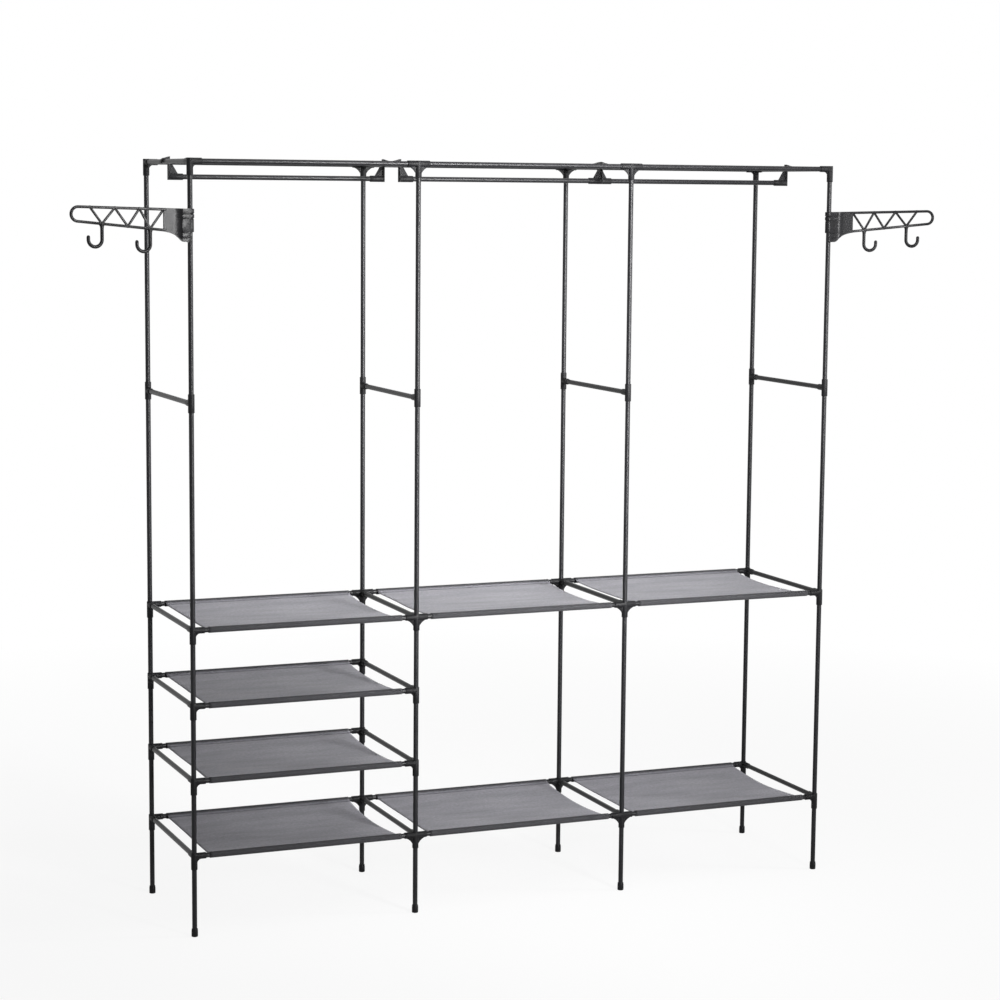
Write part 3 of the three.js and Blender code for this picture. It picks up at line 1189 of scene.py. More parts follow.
@dataclass(frozen=True)
class Crease:
    """A shallow fold along the cloth: its place, lean, depth and breadth, and where and how far it runs."""

    centre: float
    lean: float
    depth: float
    breadth: float
    middle: float
    spread: float
    skew: float = 0.12

    def drop(self, across: float, share: float) -> float:
        """How far the fold lowers the cloth at a place across and along it."""
        off = (share - self.centre - self.lean * self.skew * across) / self.breadth
        return self.depth * math.exp(-off * off) * math.exp(-(((across - self.middle) / self.spread) ** 2))


@dataclass(frozen=True)
class Wave:
    """A broad wave of the cloth: its turns along X and Y, its phase and its depth."""

    along: float
    over: float
    phase: float
    depth: float

    def drop(self, across: float, share: float) -> float:
        """How far the wave lowers the cloth at a place across and along it."""
        return self.depth * math.sin(self.phase + math.pi * (self.along * across + self.over * 2 * share))


@dataclass
class ClothShelf:
    """A shelf of cloth drawn between two rails that run through its sewn pockets."""

    layout: Layout
    bay: Bay
    level: Level
    finishes: Finishes
    inset: float = 35 * MM
    thickness: float = 0.9 * MM
    wrap: float = 6.35 * MM
    seam: float = 15 * MM
    flap: float = 21 * MM
    tuck: float = 0.95 * MM
    sag: float = 7 * MM
    bulge: float = 0.07
    edge_sag: float = 0.9 * MM
    edge_power: int = 8
    hollow: float = 7 * MM
    hollow_power: int = 5
    margin: float = 10 * MM
    dent_depth: float = 0.35 * MM
    dent_width: float = 1.6 * MM
    shade_width: float = 2.4 * MM
    columns: int = 72
    rows: int = 76
    wrap_steps: int = 26
    flap_steps: int = 3
    tuck_steps: int = 5
    pocket_steps: int = 6
    hem_steps: int = 4
    stitch_pitch: float = 3.4 * MM
    stitch_share: float = 0.36
    stitch_lift: float = 0.1 * MM
    stitch_flatness: float = 0.8
    thread: float = 0.26 * MM
    crease_angle: float = 75.0
    stitch_angle: float = 80.0

    def __post_init__(self) -> None:
        """Draw this shelf's creases from its own seed."""
        draw = random.Random(f"{self.bay.word} {self.level.word}")
        middle = self.level is Level.MIDDLE
        depth = 0.5 * MM if middle else 0.85 * MM
        self.creases = [
            Crease(
                centre=draw.uniform(0.08, 0.92),
                lean=draw.uniform(-0.12, 0.12),
                depth=depth * draw.uniform(0.45, 1.0) * draw.choice((-1, 1)),
                breadth=draw.uniform(0.010, 0.022),
                middle=draw.uniform(-0.7, 0.7),
                spread=draw.uniform(0.35, 0.9),
            )
            for _ in range(4 if middle else 6)
        ]
        self.waves = [
            Wave(
                along=draw.uniform(1.0, 2.4),
                over=draw.uniform(0.6, 1.8),
                phase=draw.uniform(0, math.tau),
                depth=draw.uniform(0.2, 0.5) * MM,
            )
            for _ in range(3)
        ]

    @property
    def label(self) -> str:
        """The bay's and level's words, as pieces and nodes use them."""
        return f"{self.bay.word}_{self.level.word}"

    @property
    def left(self) -> float:
        """Where the cloth starts along X."""
        return self.layout.post_x(self.bay.value) + self.inset

    @property
    def width(self) -> float:
        """The cloth's width along X."""
        return self.layout.bay_width - 2 * self.inset

    @property
    def seam_lines(self) -> tuple[float, float]:
        """Depths at which the front and back pockets are sewn shut."""
        near = self.layout.row_y(Row.FRONT)
        return (near + self.seam, near + self.layout.depth - self.seam)

    def path(self, mesh: Mesh) -> None:
        """Draw the cloth's path from flap to flap in the plane across the rails.

        Args:
            mesh: The mesh to draw in.
        """
        near, far = self.layout.row_y(Row.FRONT), self.layout.row_y(Row.BACK)
        above = math.acos(self.wrap / self.seam)
        below = math.atan2(self.tuck, self.seam) + math.acos(self.wrap / math.hypot(self.seam, self.tuck))
        sweep = math.degrees(above + below) - 360
        touch = (self.wrap * math.cos(below), -self.wrap * math.sin(below))
        pen = Pen(mesh, (near + self.flap, -self.tuck), "x")
        pen.steps((near + self.seam, -self.tuck), self.flap_steps)
        pen.steps((near + touch[0], touch[1]), self.tuck_steps)
        pen.arc((near, 0.0), sweep, self.wrap_steps)
        pen.steps((near + self.seam, 0.0), self.pocket_steps)
        pen.steps((near + self.flap, 0.0), self.hem_steps)
        pen.steps((far - self.flap, 0.0), self.rows)
        pen.steps((far - self.seam, 0.0), self.hem_steps)
        pen.steps((far - self.wrap * math.cos(above), self.wrap * math.sin(above)), self.pocket_steps)
        pen.arc((far, 0.0), sweep, self.wrap_steps)
        pen.steps((far - self.seam, -self.tuck), self.tuck_steps)
        pen.steps((far - self.flap, -self.tuck), self.flap_steps)

    def dip(self, across: float, share: float) -> float:
        """How far the sheet hangs below the line between its rails.

        Args:
            across: Place along X, from -1 at the left edge to 1 at the right.
            share: Place from the front rail at 0 to the back rail at 1.

        Returns:
            The drop in metres.
        """
        inboard = min(share, 1 - share) * self.layout.depth
        free = min(1.0, max(0.0, (inboard - self.wrap) / (self.seam - self.wrap)))
        if not free:
            return 0.0
        bow = 1 - (2 * share - 1) ** 2
        drop = self.sag * bow * free * (1 - self.bulge + self.bulge * math.cos(math.pi * across))
        ease = min(1.0, max(0.0, (inboard - self.seam) / self.seam))
        drop += ease * sum(crease.drop(across, share) for crease in self.creases)
        drop += ease * bow * sum(wave.drop(across, share) for wave in self.waves)
        return drop + self.edge_sag * bow * free * across ** self.edge_power

    def settle(self, mesh: Mesh) -> None:
        """Hang the flat cloth: sag, creases, drawn-in sides and the pull of the seams, with masks for the
        painted shade along the seams and on the rail pockets.

        Args:
            mesh: The flat cloth, or the stitches on it.
        """
        near = self.layout.row_y(Row.FRONT)
        middle, half = self.left + self.width / 2, self.width / 2
        span = self.layout.depth - 2 * self.margin
        # Masks of painted shade: a band along the seams, and the pockets round the rails.
        shade = mesh.verts.layers.float.new("seam")
        pocket_shade_layer = mesh.verts.layers.float.new("pocket")
        for vert in mesh.verts:
            across = (vert.co.x - middle) / half
            share = (vert.co.y - near) / self.layout.depth
            drop = self.dip(across, share)
            # Along each seam: a dent in the cloth, and a mask for a band of painted shade.
            if 0 < share < 1 and vert.co.z > -self.tuck / 2:
                for line in self.seam_lines:
                    off = vert.co.y - line
                    drop += self.dent_depth * math.exp(-((off / self.dent_width) ** 2))
                    vert[shade] = max(vert[shade], math.exp(-((off / self.shade_width) ** 2)))
            # Painted shade mask for the pockets: 1 round the rail, fading out towards the seam.
            inboard = min(share, 1 - share) * self.layout.depth
            vert[pocket_shade_layer] = min(1.0, max(0.0, (self.seam - inboard) / (self.seam - self.wrap)))
            inner = (vert.co.y - near - self.margin) / span
            pull = self.hollow * max(0.0, 1 - (2 * inner - 1) ** 2) if 0 < inner < 1 else 0.0
            vert.co.x -= math.copysign(pull * abs(across) ** self.hollow_power, across)
            vert.co.z += self.level.value - drop

    def stitches(self) -> bpy.types.Object:
        """Sew both seams with a row of short stitches that lie in the cloth's dents.

        Returns:
            The stitches' object.
        """
        mesh = bmesh.new()
        count = int(self.width / self.stitch_pitch)
        long, deep = self.stitch_share * self.stitch_pitch, self.thread * self.stitch_flatness
        shape = Matrix.Diagonal((long, self.thread, deep, 1.0))
        for line in self.seam_lines:
            for number in range(count):
                x = self.left + (number + 0.5) * self.width / count
                place = Matrix.Translation((x, line, self.thickness / 2 + self.stitch_lift))
                bmesh.ops.create_uvsphere(mesh, u_segments=6, v_segments=5, radius=1.0, matrix=place @ shape)
        self.settle(mesh)
        return self.piece(f"stitching_{self.label}", self.finishes.thread, self.stitch_angle).made_from(mesh)

    def piece(self, name: str, finish: Material, crease: float) -> Piece:
        """A piece that stands for this shelf's node."""
        return Piece(name, "frame", Slot.CLOTH, (f"shelf_{self.label}",), finish, crease)

    def build(self) -> bpy.types.Object:
        """Make the cloth.

        Returns:
            The cloth's object.
        """
        mesh = bmesh.new()
        self.path(mesh)
        run = mesh.verts.layers.float.new("run")
        mesh.verts.ensure_lookup_table()
        line = list(mesh.verts)
        for before, vert in zip(line, line[1:]):
            vert[run] = before[run] + (vert.co - before.co).length
        bmesh.ops.translate(mesh, verts=line, vec=(self.left, 0, 0))
        bmesh.ops.spin(
            mesh, geom=line + mesh.edges[:], cent=(0, 0, 0), axis=(1, 0, 0), angle=0.0,
            dvec=(self.width / self.columns, 0, 0), steps=self.columns,
        )
        sheet_map = mesh.loops.layers.uv.new("cloth")
        for face in mesh.faces:
            for loop in face.loops:
                loop[sheet_map].uv = (loop.vert.co.x - self.left, loop.vert[run])
        bmesh.ops.recalc_face_normals(mesh, faces=mesh.faces[:])
        self.settle(mesh)
        cloth = self.piece(f"cloth_{self.label}", self.finishes.cloth, self.crease_angle).made_from(mesh)
        body = cloth.modifiers.new("thickness", "SOLIDIFY")
        body.thickness, body.offset, body.use_even_offset = self.thickness, 0.0, True
        self.stitches()
        return cloth


@dataclass
class ClothesRod:
    """A clothes rod with a bracket at each end that hooks over a top cross tube."""

    layout: Layout
    stock: TubeStock
    mould: JointMould
    finishes: Finishes
    bay: Bay
    depth: float
    drop: float = 32.5 * MM
    width: float = 13 * MM
    wall: float = 3 * MM
    slack: float = 1.8 * MM
    hook_wall: float = 2.6 * MM
    hook_rounding: float = 0.7 * MM
    crown_steps: int = 8
    saddle_steps: int = 16
    corner_rise: float = 3 * MM
    lip: float = 4 * MM
    socket_reach: float = 33 * MM
    web_rise: float = 27 * MM
    web_reach: float = 22 * MM
    web_top: float = 9.5 * MM
    web_thickness: float = 4 * MM
    web_rounding: float = 0.6 * MM
    web_sink: float = 0.4 * MM
    socket_sink: float = 0.2 * MM
    gap: float = 0.3 * MM
    crease: float = 40.0

    def bracket(self) -> Mesh:
        """A bracket with its cross tube's axis at the origin and its rod along +X.

        Returns:
            The bracket's shape.
        """
        inner = self.stock.radius + self.slack
        outer = inner + self.hook_wall
        centre = self.gap - self.slack
        face = inner + self.wall
        foot = -self.drop - self.mould.outer

        def hook(mesh: Mesh) -> None:
            """Draw the upright and the open hook over the cross tube.

            Args:
                mesh: The mesh to draw in.
            """
            pen = Pen(mesh, (inner, foot)).run((face, foot), (face, centre + outer + self.corner_rise))
            pen.run((0.0, centre + outer)).arc((0.0, centre), 90, self.crown_steps)
            pen.run((-outer, -self.lip), (-inner, -self.lip), (-inner, centre))
            pen.arc((0.0, centre), -180, self.saddle_steps).close()

        def brace(mesh: Mesh) -> None:
            """Draw the web between the upright and the rod's socket.

            Args:
                mesh: The mesh to draw in.
            """
            low, start = -self.drop, inner + self.web_sink
            pen = Pen(mesh, (start, low)).run((inner + self.web_reach, low))
            pen.run((inner + self.web_reach, low + self.mould.bore))
            pen.run((inner + self.web_top, low + self.web_rise), (start, low + self.web_rise)).close()

        end = inner + self.socket_reach
        start, sides = inner + self.socket_sink, self.mould.sides
        socket = laid(round_bar(self.mould.outer, start, end, sides, self.mould.rim), 0)
        bore = laid(round_bar(self.mould.bore, face, end + self.mould.overrun, sides), 0)
        level = Matrix.Translation((0, 0, -self.drop))
        parts = [
            plate(hook, self.width, self.hook_rounding),
            plate(brace, self.web_thickness, self.web_rounding),
            moved(socket, level),
        ]
        return united(parts, [moved(bore, level)])

    def build(self) -> int:
        """Make the rod and its brackets.

        Returns:
            How many pieces were made.
        """
        word = self.bay.word
        body = f"rod_{word}"
        row = Vector((0, self.layout.front + self.depth, Level.TOP.value))
        left = self.layout.post_x(self.bay.value)
        right = left + self.layout.bay_width
        end = self.stock.radius + self.slack + self.wall + self.gap
        tube = self.stock.flat(row + Vector((left + end, 0, -self.drop)), right - left - 2 * end, 0)
        node = f"clothes_rod_{word}"
        Piece(f"rodtube_{word}", body, Slot.TUBE, (node,), self.finishes.paint).made_from(tube)
        bracket = self.bracket()
        sides = (("left_end", left, 0.0), ("right_end", right, 180.0))
        for side, x, turn in sides:
            place = Matrix.Translation(row + Vector((x, 0, 0))) @ about_z(turn)
            Piece(
                f"bracket_{word}_{side}", body, Slot.BRACKET, (f"rod_bracket_{word}_{side}",),
                self.finishes.joint, self.crease,
            ).made_from(copied(bracket, place))
        bracket.free()
        return 1 + len(sides)


@dataclass
class HookArm:
    """A swivelling arm: a ribbed clamp, a flared root plate, a latticed beam and two hooks."""

    finishes: Finishes
    name: str
    place: Vector
    heading: float
    length: float = 267 * MM
    thickness: float = 5.5 * MM
    bar: float = 6 * MM
    bar_rounding: float = 1.7 * MM
    loop_steps: int = 18
    strut: float = 4.8 * MM
    strut_thickness: float = 4.6 * MM
    strut_rounding: float = 1.1 * MM
    pad: float = 3.4 * MM
    pad_thickness: float = 4.9 * MM
    pad_rounding: float = 0.6 * MM
    pad_sides: int = 20
    rise: float = 6.3 * MM
    tip_drop: float = 23.8 * MM
    plate_reach: float = 60 * MM
    plate_drop: float = 41.7 * MM
    waist_reach: float = 33 * MM
    waist_drop: float = 52.8 * MM
    waist_steps: int = 10
    foot_reach: float = 14.5 * MM
    foot_lift: float = 0.4 * MM
    toe: Point = (2.6 * MM, 2 * MM)
    toe_bend: float = 3.2 * MM
    toe_steps: int = 5
    flare_reach: float = 39 * MM
    housing_reach: float = 20 * MM
    housing_bend: float = 5 * MM
    flare_steps: int = 12
    upper_clamp: float = 46 * MM
    clamp_drop: float = 67.2 * MM
    clamp_radius: float = 8.2 * MM
    lower_radius: float = 7.5 * MM
    rib: float = 0.6 * MM
    grooves: tuple[float, ...] = (7.8 * MM, 17.5 * MM, 46.7 * MM, 58.5 * MM)
    groove_width: float = 1.2 * MM
    groove_depth: float = 1.3 * MM
    ring_edge: float = 1.1 * MM
    ring_sink: float = 0.3 * MM
    ring_inset: float = 0.05 * MM
    ring_setback: float = 2 * MM
    rim_clearance: float = 0.4 * MM
    level_slack: float = 0.01 * MM
    bore: float = 5.85 * MM
    mouth: float = 7 * MM
    overrun: float = 2 * MM
    sides: int = 48
    top_nodes: tuple[float, ...] = (223 * MM, 168.5 * MM, 114 * MM, 60 * MM)
    low_nodes: tuple[float, ...] = (197 * MM, 140 * MM, 90 * MM)
    hook_nodes: tuple[float, ...] = (197 * MM, 90 * MM)
    shank: float = 32.5 * MM
    bend: float = 15 * MM
    bend_steps: int = 20
    tip: float = 9 * MM
    tip_turns: tuple[int, ...] = (25, 45, 62, 76)
    hook_radius: float = 3.8 * MM
    hook_sides: int = 18
    # Radius of each corner of a collar, and how far it lies under the beam.
    collar_outline: tuple[Point, ...] = (
        (0.0, -1.5 * MM), (6 * MM, -1.5 * MM), (6 * MM, 0.0), (4.68 * MM, 1.8 * MM),
        (4.256 * MM, 4.4 * MM), (3.61 * MM, 6.9 * MM), (0.0, 6.9 * MM),
    )
    collar_sides: int = 28
    collar_squeeze: float = 0.62
    half_gap: float = 1.5 * MM
    crease: float = 38.0

    @property
    def loop_radius(self) -> float:
        """Radius of the beam's end loop at its centre line."""
        return (self.rise + self.tip_drop) / 2

    @property
    def loop_centre(self) -> float:
        """Reach of the end loop's centre."""
        return self.length - self.loop_radius - self.bar / 2

    @property
    def groove_radius(self) -> float:
        """Radius at the bottom of the grooves."""
        return self.lower_radius + self.rib - self.groove_depth

    def top_bar(self, reach: float) -> float:
        """Height of the top bar's centre line at a reach."""
        return self.rise * reach / self.loop_centre

    def low_bar(self, reach: float) -> float:
        """Height of the lower bar's centre line at a reach."""
        share = (reach - self.plate_reach) / (self.loop_centre - self.plate_reach)
        return -self.plate_drop + share * (self.plate_drop - self.tip_drop)

    def beam(self) -> Mesh:
        """The upper bar, the end loop and the lower bar, drawn out of one rounded section.

        Returns:
            The beam's shape.
        """
        mesh = bmesh.new()
        start = self.plate_reach - self.bar
        bmesh.ops.create_circle(mesh, cap_ends=True, segments=4, radius=self.bar / math.sqrt(2))
        bmesh.ops.rotate(
            mesh, verts=mesh.verts[:], cent=(0, 0, 0), matrix=Matrix.Rotation(math.pi / 4, 3, "Z")
        )
        bmesh.ops.bevel(
            mesh, geom=mesh.verts[:], offset=self.bar_rounding, segments=3, profile=0.5,
            affect="VERTICES", material=-1,
        )
        first = self.top_bar(start)
        moved(mesh, Matrix.Translation((start, 0, first)) @ Matrix.Rotation(math.pi / 2, 4, "Y"))
        end = drawn(mesh, sole_face(mesh), Vector((self.loop_centre - start, 0, self.rise - first)))
        centre = (self.loop_centre, 0, self.rise - self.loop_radius)
        end = bent(mesh, end, centre, math.pi, self.loop_steps)
        drawn(mesh, end, Vector((start - self.loop_centre, 0, self.low_bar(start) + self.tip_drop)))
        return tidy(mesh)

    def strut_between(self, first: Point, second: Point) -> Mesh:
        """One lattice bar.

        Args:
            first: Where it starts, in reach and height.
            second: Where it ends.

        Returns:
            The bar's shape.
        """
        way = Vector((second[0] - first[0], 0, second[1] - first[1]))
        mesh = block(way.length, self.strut_thickness, self.strut)
        half = way.length / 2
        long_edges = [edge for edge in mesh.edges if abs((edge.verts[0].co - edge.verts[1].co).x) > half]
        rounded(mesh, long_edges, self.strut_rounding, 3)
        lean = Matrix.Rotation(-math.atan2(way.z, way.x), 4, "Y")
        middle = Vector(((first[0] + second[0]) / 2, 0, (first[1] + second[1]) / 2))
        return tidy(moved(mesh, Matrix.Translation(middle) @ lean))

    def rings(self) -> list[tuple[float, float, float]]:
        """The rings between the clamp's grooves.

        Returns:
            The crest, foot and radius of each, from the top.
        """
        half = self.groove_width / 2
        crests = [self.bar / 2, *(-drop - half for drop in self.grooves)]
        feet = [*(-drop + half for drop in self.grooves), -self.clamp_drop]
        radii = [self.clamp_radius if foot > -self.upper_clamp else self.lower_radius for foot in feet]
        return [(crest, foot, radius + self.rib) for crest, foot, radius in zip(crests, feet, radii)]

    def flared(
        self, wide: float, crest: float, foot: float, inset: float = 0.0, setback: float = 0.0
    ) -> Mesh:
        """The root's plan between two heights: a housing that narrows in a hollow curve to the plate.

        Args:
            wide: Half the housing's width.
            crest: Upper height.
            foot: Lower height.
            inset: How far the plate's faces lie inside its real ones.
            setback: How far the plate's end lies short of its real one.

        Returns:
            The solid.
        """
        half, far = self.thickness / 2 - inset, self.plate_reach + self.bar / 2 - setback
        corner = self.housing_reach + self.housing_bend
        mesh = bmesh.new()
        pen = Pen(mesh, (far, half), "z").run((self.flare_reach, half))
        pen.bow((corner, half), (self.housing_reach, wide), self.flare_steps)
        pen.run((0.0, wide), (0.0, -wide), (self.housing_reach, -wide))
        pen.bow((corner, -half), (self.flare_reach, -half), self.flare_steps).run((far, -half)).close()
        bmesh.ops.contextual_create(mesh, geom=mesh.edges[:])
        drawn(mesh, sole_face(mesh), Vector((0, 0, crest - foot)))
        return moved(tidy(mesh), Matrix.Translation((0, 0, foot)))

    def root(self) -> Mesh:
        """The root plate: an S-curved side outline, kept to a plan that flares into a ringed housing.

        Returns:
            The root's shape.
        """
        top = self.bar / 2
        low = -self.clamp_drop + self.foot_lift

        def side(mesh: Mesh) -> None:
            """Draw the outline seen from the side.

            Args:
                mesh: The mesh to draw in.
            """
            pen = Pen(mesh, (0.0, top)).run((self.plate_reach, self.top_bar(self.plate_reach) + top))
            pen.run((self.plate_reach, -self.plate_drop - top))
            pen.bow(
                (self.waist_reach + self.clamp_radius, -self.plate_drop - self.bar),
                (self.waist_reach, -self.waist_drop), self.waist_steps,
            )
            pen.run((self.foot_reach + self.toe[0], low + self.toe[1]))
            pen.bow((self.foot_reach, low), (self.foot_reach - self.toe_bend, low), self.toe_steps)
            pen.run((0.0, low)).close()

        above, below = self.bar + self.rise, -self.clamp_drop - self.bar
        parts = [self.flared(self.groove_radius - self.ring_sink, above + top, below - top)]
        rings = self.rings()
        for number, (crest, foot, radius) in enumerate(rings):
            crest = above if number == 0 else crest
            foot = below if number == len(rings) - 1 else foot
            ring = self.flared(radius - self.ring_sink, crest, foot, self.ring_inset, self.ring_setback)
            rims = [
                edge for edge in ring.edges
                if abs((edge.verts[0].co - edge.verts[1].co).z) < self.level_slack
                and min(abs(vert.co.y) for vert in edge.verts) > self.thickness / 2 + self.rim_clearance
            ]
            rounded(ring, rims, self.ring_edge)
            parts.append(tidy(ring))
        return combined(united(parts), plate(side, 2 * (self.clamp_radius + 2 * self.rib)), Combine.COMMON)

    def clamp(self) -> Mesh:
        """The sleeve round the post: rings above and below, which go only half round below.

        Returns:
            The clamp's shape.
        """
        soft, inset = self.ring_edge, RIM_INSET * self.ring_edge
        rings = self.rings()
        profile = [(0.0, rings[0][0])]
        for crest, foot, radius in rings:
            if len(profile) > 1:
                profile.append((self.groove_radius, crest + self.groove_width / 2))
            profile.extend([
                (radius - soft, crest), (radius - inset, crest - inset), (radius, crest - soft),
                (radius, foot + soft), (radius - inset, foot + inset), (radius - soft, foot),
            ])
        profile.append((0.0, -self.clamp_drop))
        size = 4 * self.clamp_radius
        away = block(size, size, size)
        moved(away, Matrix.Translation((-size / 2 - self.half_gap, 0, -self.upper_clamp - size / 2)))
        return combined(turned(profile, self.sides, hollow=False), away, Combine.CUT)

    def hook(self, reach: float) -> list[Mesh]:
        """A hook under the beam and the flared collar at its root.

        Args:
            reach: Where along the beam it hangs.

        Returns:
            The hook's shape and the collar's.
        """
        top = self.low_bar(reach)
        turn = top - self.shank
        mesh = bmesh.new()
        bmesh.ops.create_circle(mesh, cap_ends=True, segments=self.hook_sides, radius=self.hook_radius)
        moved(mesh, Matrix.Translation((reach, 0, top)))
        end = drawn(mesh, sole_face(mesh), Vector((0, 0, turn - top)))
        end = bent(mesh, end, (reach + self.bend, 0, turn), -math.pi, self.bend_steps)
        end = drawn(mesh, end, Vector((0, 0, self.tip - self.hook_radius)))
        centre = Vector((reach + 2 * self.bend, 0, 0))
        before = 0.0
        for degrees in self.tip_turns:
            lean = math.radians(degrees)
            end = drawn(mesh, end, Vector((0, 0, self.hook_radius * (math.sin(lean) - math.sin(before)))))
            size = math.cos(lean) / math.cos(before)
            middle = centre + Vector((0, 0, end.verts[0].co.z))
            bmesh.ops.scale(mesh, vec=(size, size, 1), space=Matrix.Translation(-middle), verts=end.verts[:])
            before = lean
        return [tidy(mesh), self.collar_at(reach, top - self.bar / 2)]

    def collar_at(self, reach: float, under: float) -> Mesh:
        """The flared collar at a hook's root.

        Args:
            reach: Where along the beam it hangs.
            under: Height of the beam's underside there.

        Returns:
            The collar's shape.
        """
        outline = [(radius, under - drop) for radius, drop in self.collar_outline]
        collar = turned(outline, self.collar_sides, hollow=False)
        moved(collar, Matrix.Diagonal((1.0, self.collar_squeeze, 1.0, 1.0)))
        return tidy(moved(collar, Matrix.Translation((reach, 0, 0))))

    def node_pad(self, reach: float, height: float) -> Mesh:
        """A small round pad where lattice bars meet.

        Args:
            reach: Its place along the beam.
            height: Its height.

        Returns:
            The pad's shape.
        """
        half = self.pad_thickness / 2
        pad = round_bar(self.pad, -half, half, self.pad_sides, self.pad_rounding)
        moved(pad, Matrix.Rotation(math.pi / 2, 4, "X"))
        return moved(pad, Matrix.Translation((reach, 0, height)))

    def mouth_cut(self) -> Mesh:
        """The slot that lets the clamp snap over the post.

        Returns:
            The shape to cut away.
        """
        deep = self.clamp_radius + self.rib + self.overrun
        tall = self.clamp_drop + self.bar + 2 * self.overrun
        slot = block(deep, self.mouth, tall)
        return moved(slot, Matrix.Translation((-deep / 2, 0, self.bar / 2 + self.overrun - tall / 2)))

    def build(self) -> int:
        """Make the arm as one moulding.

        Returns:
            How many pieces were made.
        """
        zigzag: list[Point] = []
        for number, reach in enumerate(self.top_nodes):
            zigzag.append((reach, self.top_bar(reach)))
            if number < len(self.low_nodes):
                low = self.low_nodes[number]
                zigzag.append((low, self.low_bar(low)))
        parts = [self.root(), self.clamp(), self.beam()]
        parts += [self.strut_between(first, second) for first, second in zip(zigzag, zigzag[1:])]
        parts += [self.node_pad(*point) for point in zigzag[:-1]]
        for reach in self.hook_nodes:
            parts += self.hook(reach)
        low, high = -self.clamp_drop - self.overrun, self.bar / 2 + self.overrun
        whole = united(parts, [round_bar(self.bore, low, high, self.sides), self.mouth_cut()])
        moved(whole, Matrix.Translation(self.place) @ about_z(self.heading))
        node = f"hook_{self.name}"
        Piece(
            f"hooked_{self.name}", self.name, Slot.ARM, (node,), self.finishes.arm, self.crease
        ).made_from(whole)
        return 1


@dataclass(frozen=True)
class Lamp:
    """A soft lamp: where it hangs, the point that it faces, its size, its power and its beam's angle."""

    name: str
    spot: Spot
    aim: Spot
    size: Point
    power: float
    spread: float

    def hang(self) -> None:
        """Put the lamp in the scene."""
        data = bpy.data.lights.new(self.name, "AREA")
        data.shape, data.size, data.size_y, data.energy = "RECTANGLE", *self.size, self.power
        data.spread = math.radians(self.spread)
        made = bpy.data.objects.new(self.name, data)
        made.rotation_mode = "QUATERNION"
        made.location = self.spot
        made.visible_camera = False
        made.rotation_quaternion = (Vector(self.aim) - Vector(self.spot)).to_track_quat("-Z", "Y")
        bpy.context.scene.collection.objects.link(made)


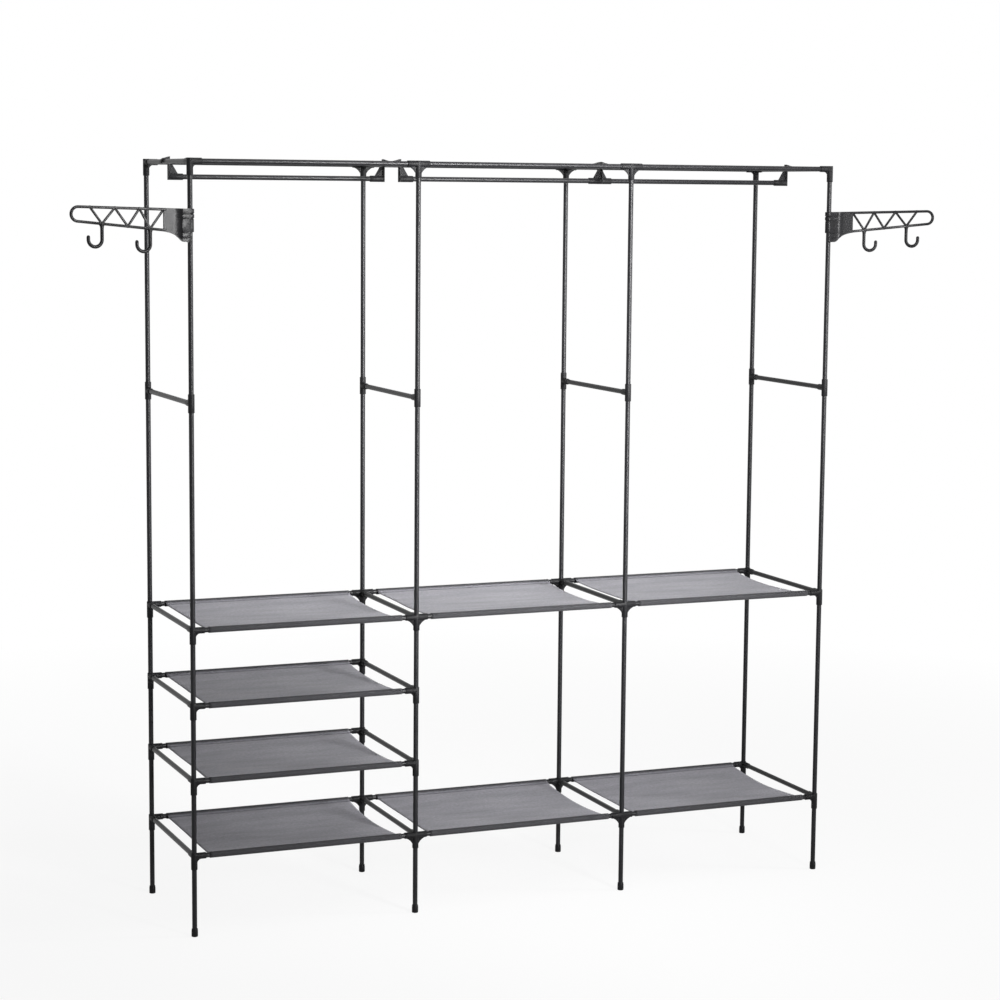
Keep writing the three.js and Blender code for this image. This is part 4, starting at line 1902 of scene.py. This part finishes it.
@dataclass
class Studio:
    """The floor, lamps, world and camera."""

    place: Spot = (-2.1919, -5.28975, 1.6273)
    yaw: float = 22.612444
    pitch: float = -7.127303
    roll: float = 0.508919
    lens: float = 89.56
    sensor: float = 36.0
    ambient: float = 0.23
    shadow_share: float = 0.88
    shadow_edge: Point = (1.2, 3.4)
    clip: Point = (0.1, 100.0)
    floor_colour: Colour = (0.82, 0.82, 0.82, 1)
    floor_radius: float = 40.0
    floor_sides: int = 96
    lamps: tuple[Lamp, ...] = (
        Lamp("overhead", (0.1, -0.5, 3.1), (0.0, 0.0, 0.9), (2.6, 1.8), 26.0, 180.0),
        Lamp("key", (0.6, -2.8, 1.6), (0.05, 0.0, 1.32), (0.42, 1.7), 44.0, 52.0),
        Lamp("side", (3.3, -1.4, 1.7), (0.0, 0.0, 1.5), (0.4, 1.8), 42.0, 110.0),
    )

    def camera(self) -> None:
        """Stand the camera where the photograph was taken from."""
        yaw, pitch, roll = (math.radians(angle) for angle in (self.yaw, self.pitch, self.roll))
        ahead = Vector((math.sin(yaw) * math.cos(pitch), math.cos(yaw) * math.cos(pitch), math.sin(pitch)))
        level = Vector((math.cos(yaw), -math.sin(yaw), 0))
        above = level.cross(ahead)
        right = math.cos(roll) * level + math.sin(roll) * above
        up = -math.sin(roll) * level + math.cos(roll) * above
        turn = Matrix((right, up, -ahead)).transposed().to_4x4()
        data = bpy.data.cameras.new("camera")
        data.lens, data.sensor_width = self.lens, self.sensor
        data.clip_start, data.clip_end = self.clip
        made = bpy.data.objects.new("camera", data)
        made.matrix_world = Matrix.Translation(self.place) @ turn
        bpy.context.scene.collection.objects.link(made)
        bpy.context.scene.camera = made

    def world(self) -> None:
        """White to the eye and in reflections, and a plain level of light on the object."""
        wiring = Wiring(bpy.data.worlds.new("studio"))
        path = wiring.node("LightPath").outputs
        seen = wiring.either(path["Is Camera Ray"], path["Is Glossy Ray"])
        seen = wiring.either(seen, path["Is Transmission Ray"])
        strength = wiring.ranged(seen, 0.0, 1.0, self.ambient, 1.0)
        back = wiring.node("Background", {"Color": WHITE, "Strength": strength})
        wiring.node("OutputWorld", {"Surface": back.outputs[0]})
        bpy.context.scene.world = wiring.holder

    def floor(self) -> None:
        """A white floor that keeps a faint shadow near the object."""
        wiring = Wiring(bpy.data.materials.new("studio_floor"))
        path = wiring.node("LightPath").outputs
        seen = wiring.either(path["Is Camera Ray"], path["Is Glossy Ray"])
        where = wiring.node("TexCoord").outputs["Object"]
        away = wiring.node("VectorMath", {0: where}, operation="LENGTH").outputs["Value"]
        share = wiring.ranged(away, *self.shadow_edge, self.shadow_share, 1.0)
        glow = wiring.node("Math", {0: seen, 1: share}, operation="MULTIPLY")
        paint = wiring.node("BsdfDiffuse", {"Color": self.floor_colour})
        light = wiring.node("Emission", {"Color": WHITE, "Strength": 1.0})
        both = wiring.node("MixShader", {0: glow.outputs[0], 1: paint.outputs[0], 2: light.outputs[0]})
        mesh = bmesh.new()
        bmesh.ops.create_circle(mesh, cap_ends=True, segments=self.floor_sides, radius=self.floor_radius)
        made = loose("floor", mesh)
        made.data.materials.append(wiring.close(both.outputs[0]))

    def build(self) -> None:
        """Set the whole studio."""
        self.camera()
        self.world()
        self.floor()
        for lamp in self.lamps:
            lamp.hang()
        bpy.context.scene.view_settings.view_transform = "Standard"


@dataclass(frozen=True)
class Wardrobe:
    """The whole object: what its sub-assemblies share, and where the rods and arms stand."""

    layout: Layout = Layout()
    rod_depths: tuple[float, ...] = (202 * MM, 143 * MM, 195 * MM)
    arm_height: float = Level.TOP.value - 102.8 * MM
    arms: tuple[tuple[str, int, float], ...] = (("arm_left", 0, 187.7), ("arm_right", 3, -7.7))

    def build(self) -> None:
        """Build the object, sub-assembly by sub-assembly."""
        layout, finishes, stock, mould = self.layout, mix_finishes(), TubeStock(), JointMould()
        LOG.info("posts: %d pieces", PostRow(layout, stock, mould, finishes).build())
        LOG.info("rails and cross tubes: %d pieces", Rails(layout, stock, finishes).build())
        for bay in Bay:
            for level in bay.levels:
                LOG.info("shelf: %s", ClothShelf(layout, bay, level, finishes).build().name)
        for bay, depth in zip(Bay, self.rod_depths):
            count = ClothesRod(layout, stock, mould, finishes, bay, depth).build()
            LOG.info("clothes rod %s: %d pieces", bay.word, count)
        for name, index, heading in self.arms:
            place = layout.place(index, Row.FRONT, self.arm_height)
            LOG.info("hook %s: %d piece", name, HookArm(finishes, name, place, heading).build())


def main() -> None:
    """Build the studio and the object."""
    logging.basicConfig(level=logging.INFO, format="%(name)s: %(message)s")
    Studio().build()
    LOG.info("studio set")
    Wardrobe().build()


if __name__ == "__main__":
    main()
